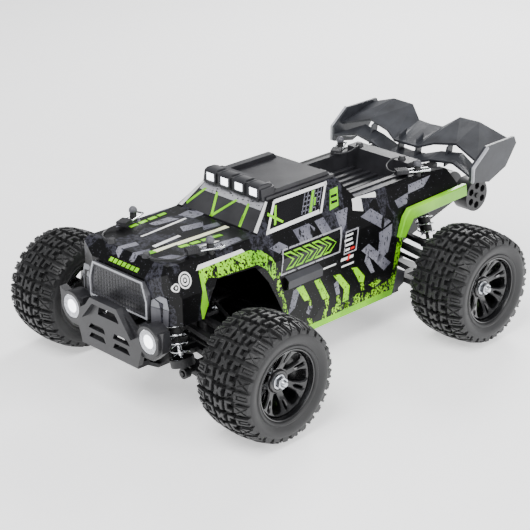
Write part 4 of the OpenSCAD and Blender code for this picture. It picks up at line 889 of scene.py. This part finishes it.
# windscreen: outlines in mm of x and z, kept off the bonnet in front of its foot
screen_foot = -62.0
sticker("windscreen_film", laid([[(-37.5, 65.5), (37.5, 65.5), (30.5, 83.4), (-30.5, 83.4)]], from_front,
                                behind=screen_foot), glass_grey, 0.07)
sticker("windscreen_banner", laid([[(-31.5, 78.6), (31.5, 78.6), (30.4, 83), (-30.4, 83)]], from_front,
                                  behind=screen_foot), banner_grey, 0.1)
sticker("windscreen_marks", laid([
    [(22.6, 65.6), (24.8, 65.6), (19.6, 79.8), (17.4, 79.8)],
    [(21, 69), (22.3, 69), (20.6, 73.4), (19.4, 73.4)],
    [(-15.2, 79.8), (-12.8, 79.8), (-4.2, 66.4), (-6.4, 66.4)],
    [(5.4, 79.6), (7.8, 79.6), (-6.4, 66.4), (-9.4, 66.4)],
    [(-27, 80), (-24.8, 80), (-33.6, 69), (-35.6, 70)]], from_front, behind=screen_foot), lime_solid, 0.13)
sticker("white_pillars", laid([[(30.6, 83.6), (33.4, 83.6), (42, 64.4), (38.4, 64.4)],
                               [(-33.4, 83.6), (-30.6, 83.6), (-38.4, 64.4), (-42, 64.4)]],
        from_front, behind=screen_foot), white_vinyl, 0.1)

# Headlamps and fender strips. White vinyl stickers: one large and one small ringed lamp on each black
# front corner of the shell, and a strip along the top edge of each front arch.
def ring_outlines(y, z, outer, inner, count=20):
    """A ring as two half outlines."""
    halves = []
    for turn in (0, pi):
        arc = [(y + outer * cos(turn + pi * k / count),
                z + outer * sin(turn + pi * k / count)) for k in range(count + 1)]
        arc += [(y + inner * cos(turn + pi * k / count),
                 z + inner * sin(turn + pi * k / count)) for k in range(count, -1, -1)]
        halves.append(arc)
    return halves


white_strip = [(-113, 59.6), (-110, 62.6), (-70, 62.4), (-68, 60)]
sticker("white_fender_strips", both_flanks([white_strip]), white_vinyl, 0.12)
big_lamp, small_lamp = (-123.8, 56.6), (-132.4, 54.0)
lamp_rings = ring_outlines(*big_lamp, 5.4, 4.3) + ring_outlines(*big_lamp, 3.3,
        1.9) + ring_outlines(*small_lamp, 2.9, 1.9)
lamp_dots = [[(y + a, z + b) for a, b in ring_of(radius, 12)] for (y, z),
             radius in ((big_lamp, 1.0), (small_lamp, 0.9))]
sticker("printed_headlamps", both_flanks(lamp_rings + lamp_dots, steepest=0.05), white_vinyl, 0.12)

# Rear flares. Lime polycarbonate mouldings over the rear wheels, nearly 5 mm deep with rounded edges,
# taped to the shell's flanks.
flare_outline = [(81.0, 29.6), (87.0, 44.2), (92.2, 49.4), (158.2, 51.4), (159.2, 41.8), (96.6, 40.1),
                 (91.8, 33.6), (87.8, 27.6)]
flare_look, tree, shader, spot = finish("lime_polycarbonate", Roughness=0.32, Coat_Weight=0.2,
                                        Coat_Roughness=0.1)
cloud = add(tree, "ShaderNodeTexNoise", {"Vector": spot.outputs["Object"]}, Scale=30.0, Detail=4.0)
two_toned(tree, shader, cloud.outputs["Fac"], "#6cba00", "#94e600", 0.3, 0.7)
flank_x, flare_x = 50.6, 55.4
flares = [plate([flare_outline], flank_x, flare_x, 0.8, lambda a, b, depth,
                side=side: on_truck(side * depth, a, b)) for side in (1, -1)]
piece("lime_rear_flares", mesh_of("flares", *merged(flares)), flare_look, "chassis", [], 30)

# Side steps and tub corners. Grey nylon: a thin skin over the step that is formed in the shell under each
# door, and the tub's own corner showing behind the shell's sill.
step_look = moulded("grey_step_nylon", "#2c2c30", "#3d3d42", 0.4, 0.8, 0.06)
steps = both_flanks([[(-36.6, 22.8), (-2.4, 22.8), (-2.4, 33.6), (-36.6, 33.6)]])
sticker("side_step_caps", steps, step_look, 0.12)
corners = [plate([[(80.5, -17), (92, -12.5), (93.5, -2.5), (85, 0.5), (81.5, -6)]], 40, flank_x, 0.8,
           lambda a, b, depth, side=side: on_truck(side * depth, a, b)) for side in (1, -1)]
piece("tub_corners", mesh_of("corners", *merged(corners)), step_look, "chassis", [], 30)

# Nose. A carbon-look nylon guard over the grille, with raised squares on its face and a painted highlight
# round its rim, a silver band for the light on its bevelled edge, and a block clipped beside it on each
# corner of the shell, lighter grey above than below.
guard_look = moulded("carbon_look_nylon", "#2c2c2f", "#4b4b50", 0.36, 0.9, 0.12)
# painted highlight: a satin silver for the light caught by the guard's bevelled rim and the front edges of
# the wing's end plates
painted_highlight_look = moulded("satin_silver_trim", "#8f9096", "#b9bac0", 0.3, 0.6, 0.04)
block_look = moulded("grey_moulded_nylon", "#48484d", "#606066", 0.42, 0.6, 0.08)
# each corner block's upper part is coloured lighter grey than its lower part
upper_part_grey_look = moulded("light_grey_nylon", "#6b6c71", "#8a8b91", 0.36, 0.6, 0.05)
keep("grille_guard", guard_look, 0.5)


guard_stand = 3


def on_nose(x, z, depth):
    """A point in front of the guard's flat face, from the middle line, axle height and the face."""
    return on_truck(x, nose - guard_stand - depth, z)


cell, across, up, columns, rows = 1.3, 3.1, 2.9, 18, 8
weave = [slanted(-27.5 + across * k, 30.5 + up * j, cell, cell,
                 0) for k in range(columns) for j in range(rows)
         if abs(-27.5 + across * k + 0.6) < 27.4 - 0.15 * (up * j)]
weave_points, weave_faces = merged([plate([square], -0.2, 0.18, 0.12, on_nose) for square in weave])
piece("guard_weave", mesh_of("weave", weave_points, weave_faces), tub_nylon, "chassis", [])
# the rim band is a painted highlight, a bright silver band standing for the light on the guard's bevelled
# edge
highlight_band_outline = [(-30, 29), (30, 29), (30.2, 42), (26, 55.2), (-26, 55.2), (-30.2, 42)]
trim = plate([highlight_band_outline, inset(highlight_band_outline, 1.3)], -0.4, 0.55, 0.25, on_nose)
piece("guard_trim", mesh_of("trim", *trim), painted_highlight_look, "chassis", [], 30)


def swept(x):
    """How much of a corner block's thickness is left as its front sweeps back round the shell's corner."""
    sweep_start, per_mm, most = 36, 0.092, 0.85
    return 1 - min(most, per_mm * max(0.0, x - sweep_start))


blocks_low, blocks_high = [], []
block_depth, block_back = 4.4, nose + 3.4
for side in (1, -1):
    blocks_low.append(plate([[(31.2, 26.5), (44.0, 26.5), (45.2, 38.6), (31.2, 38.6)]], 0, block_depth, 0.5,
        lambda a, b, d, side=side: on_truck(side * a, block_back - d * swept(a), b)))
    blocks_high.append(plate([[(31.2, 38.8), (45.2, 38.8), (43.2, 46.6), (30.2, 47.4)]], 0, block_depth,
                             0.5,
        lambda a, b, d, side=side: on_truck(side * a, block_back - d * swept(a) * (1 - 0.075 * (b - 38.8)),
                                            b)))
piece("nose_corner_blocks", mesh_of("blocks", *merged(blocks_low)), block_look, "chassis", [],
      30)
piece("nose_corner_caps", mesh_of("caps", *merged(blocks_high)), upper_part_grey_look, "chassis", [],
      30)

# Bumper, lamps and roof. Satin grey nylon mouldings screwed to the tub and shell, with lit clear lenses:
# two round ones in the bumper's pods and four square ones in the bar over the windscreen.
bumper_look = moulded("satin_grey_nylon", "#1b1b1d", "#2c2c2f", 0.34, 0.8, 0.06)
roof_look = moulded("satin_roof_nylon", "#1c1c1f", "#2d2d31", 0.34, 0.8, 0.06)
keep("front_bumper", bumper_look, 0.6)
keep("roof_panel", roof_look, 0.5)
lens_look, tree, shader, spot = finish("lit_clear_lens", Roughness=0.08, Emission_Strength=4.5)
prism = add(tree, "ShaderNodeTexVoronoi", {"Vector": spot.outputs["Object"]}, Scale=320.0)
glow = two_toned(tree, shader, prism.outputs["Distance"], "#ffffff", "#dfe6f2")
tree.links.new(glow, shader.inputs["Emission Color"])
keep("lamp_lenses", lens_look, 0.3)

# each roof lamp sits in its own domed housing, with a deep groove to the next one
dome_side = [(-38.6, 85.2), (-38.6, 92.4), (-37.4, 94.3), (-35, 95.2), (-29, 95.0), (-24.6, 93.4),
             (-23.4, 90), (-25, 86)]
domes = []
for middle in (-22.0, -7.3, 7.3, 22.0):
    for low_x, high_x in ((-6.1, -3.9), (3.9, 6.1)):
        domes.append(plate([dome_side], middle + low_x, middle + high_x, 0.6, lambda a, b,
                           x: on_truck(x, a, b)))
    lid = [(-38.4, 92.4), (-37.2, 94.0), (-35, 94.9), (-29, 94.7), (-24.8, 93.2), (-25.4, 92), (-35, 92.4)]
    domes.append(plate([lid], middle - 4.4, middle + 4.4, 0.3, lambda a, b, x: on_truck(x, a, b)))
    foot = [(-38.4, 84.4), (-38.4, 86.4), (-35.4, 86.4), (-35.4, 84.4)]
    domes.append(plate([foot], middle - 4.4, middle + 4.4, 0.3, lambda a, b, x: on_truck(x, a, b)))
piece("roof_lamp_domes", mesh_of("domes", *merged(domes)), roof_look, "chassis", [],
      30)
pod_x, pod_z = 40.6, 19.6
lens_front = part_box("lamp_lenses")[0].y
reflector_look, tree, shader, spot = finish("vacuum_chromed_reflector", Metallic=1.0, Roughness=0.16)
facets = add(tree, "ShaderNodeTexVoronoi", {"Vector": spot.outputs["Object"]}, Scale=700.0)
two_toned(tree, shader, facets.outputs["Distance"], "#8e9096", "#c8cacf")
bowl = [(0.05, 8.35), (-0.75, 8.35), (-0.75, 7.6), (-0.3, 5.2), (-0.3, 4.9), (0.05, 4.9), (0.05, 8.35)]
bowls = []
for side in (1, -1):
    at_pod = on_truck(side * pod_x, 0, pod_z)
    bowls.append(turned(bowl, 40, lambda y, a, b, at_pod=at_pod: Vector(
        (at_pod.x + a / 1000, lens_front + y / 1000, at_pod.z + b / 1000))))
piece("lamp_reflectors", mesh_of("reflectors", *merged(bowls)), reflector_look, "chassis", [], 30)

# Wing and bed. The wing is one slate-grey nylon moulding with two blades, its ribs and its end plates;
# the bed is a ribbed tray under the shell's opening, with a box across its back.
wing_look = moulded("slate_wing_nylon", "#242529", "#383a3f", 0.32, 1.0, 0.05)
keep("rear_wing", wing_look, 0.4)
bed_look = moulded("ribbed_bed_nylon", "#1d1d20", "#2f2f33", 0.42, 0.8, 0.08)
keep("cargo_bed", bed_look, 0.5)
end_plate = [(141.5, 61), (141.5, 73), (158.5, 86), (192.5, 86), (195.5, 80), (183.5, 64), (163.5, 56.5)]
# painted highlights: a silver strip on the front edge of each end plate, standing for the light caught
# there
edges = []
for side in (1, -1):
    front_edge = [end_plate[1], end_plate[2], (158.8, 84.4), (143.0, 72.2), (142.8, 61.8), end_plate[0]]
    edges.append(plate([front_edge], 71.8, 74.4, 0.3, lambda a, b, d,
                       side=side: on_truck(side * d, a - 0.15, b + 0.1)))
piece("wing_bright_edges", mesh_of("wing_edges", *merged(edges)), painted_highlight_look, "chassis", [],
      30)

# Body clips, knobs, tethers and wheelie rollers. The clips are steel wire on ball-topped posts, with ribbed
# rubber tabs and rubber tethers; the rollers are hard black nylon with open cells in their faces.
rubber_look = moulded("clip_rubber", "#1f1f21", "#3a3a3d", 0.5, 0.5, 0.08)
keep("body_clips", rubber_look, 0.12)
roller_look = moulded("roller_nylon", "#141416", "#29292c", 0.4, 0.6, 0.08)
keep("wheelie_rollers", roller_look, 0.3)


def wire_of(points, radius, count=8):
    """A closed round wire in metres through points, with flat ends."""
    rings, sideways = [], Vector((0, 0, 1))
    for k, here in enumerate(points):
        along = (points[min(k + 1, len(points) - 1)] - points[max(k - 1, 0)]).normalized()
        across = along.cross(sideways).normalized()
        up = across.cross(along)
        rings.append([here + (across * a + up * b) * radius for a, b in ring_of(1, count)])
    faces = [(r * count + i, r * count + (i + 1) % count, (r + 1) * count + (i + 1) % count,
              (r + 1) * count + i)
             for r in range(len(rings) - 1) for i in range(count)]
    faces += [tuple(reversed(range(count))), tuple(range((len(rings) - 1) * count, len(rings) * count))]
    return [p for ring in rings for p in ring], faces


deck, post_x, front_post, rear_post, post_top = 67.5, 40, -95.3, 116.8, 72.95
clip_places = [(side, y, turn) for side in (1, -1)
               for y, turn in ((front_post, radians(70)), (rear_post, radians(60)))]


def at_clip(place, x, y, z):
    """A point in mm on a clip, from its post, along the clip and across it."""
    side, post_y, turn = place
    return on_truck(side * (post_x + x * cos(turn) - y * sin(turn)), post_y + x * sin(turn) + y * cos(turn),
                    z)


wires, caps, tabs = [], [], []
for place in clip_places:
    route = [(-8, 3.05), (9, 3.05), (9.4, 2.4), (9.5, 0), (9.4, -2.4), (9, -3.05), (-8, -3.05)]
    wires.append(wire_of([at_clip(place, x, y, deck + 2.4) for x, y in route], 0.00068))
    cap = [(0.02, 0.0), (2.0, 0.0), (2.9, 0.9), (3.1, 2.0), (2.7, 3.4), (1.7, 4.6), (0.02, 5.1)]
    caps.append(turned([(h + post_top, r) for r, h in cap], 28, lambda z, a, b,
                       place=place: at_clip(place, a, b, z)))
    ribs = [plate([[(x, -3.9), (x + 0.75, -3.9), (x + 0.75, 3.9), (x, 3.9)]], deck + 1.2, deck + 4.5, 0.18,
                  lambda a, b, z, place=place: at_clip(place, a, b,
                                                       z)) for x in [-17.2 + 1.35 * k for k in range(7)]]
    tabs += ribs
piece("clip_wires", mesh_of("clip_wires", *merged(wires)), spring_chrome, "chassis", [], 50)
piece("post_caps", mesh_of("post_caps", *merged(caps)), block_look, "chassis", [], 50)
piece("tab_ribs", mesh_of("tab_ribs", *merged(tabs)), rubber_look, "chassis", [])

# Shock shafts. Polished steel rods, bright between the shock's body and the spring's lower cup.
# Each is a skin 0.06 mm proud of the shaft that slides in the body, and moves with it.
rod_radius = 1.5 + 0.06
for wheel, (side, end, centre) in wheels.items():
    lean = Vector((side * shock_lean[0], 0, shock_lean[2])).normalized()
    top = at_corner(side, end, *top_eye)
    aside = Vector((0, 1, 0))
    third = lean.cross(aside)
    sleeve = turned([(38, 0.02), (38, rod_radius), (47, rod_radius), (47, 0.02)], 20, lambda along, a,
                    b: top + (
        lean * along + aside * a + third * b) / 1000)
    piece(f"{wheel}_bright_shaft", mesh_of("rod", *sleeve), spring_chrome, f"{wheel}_shock_shaft", [],
          40)
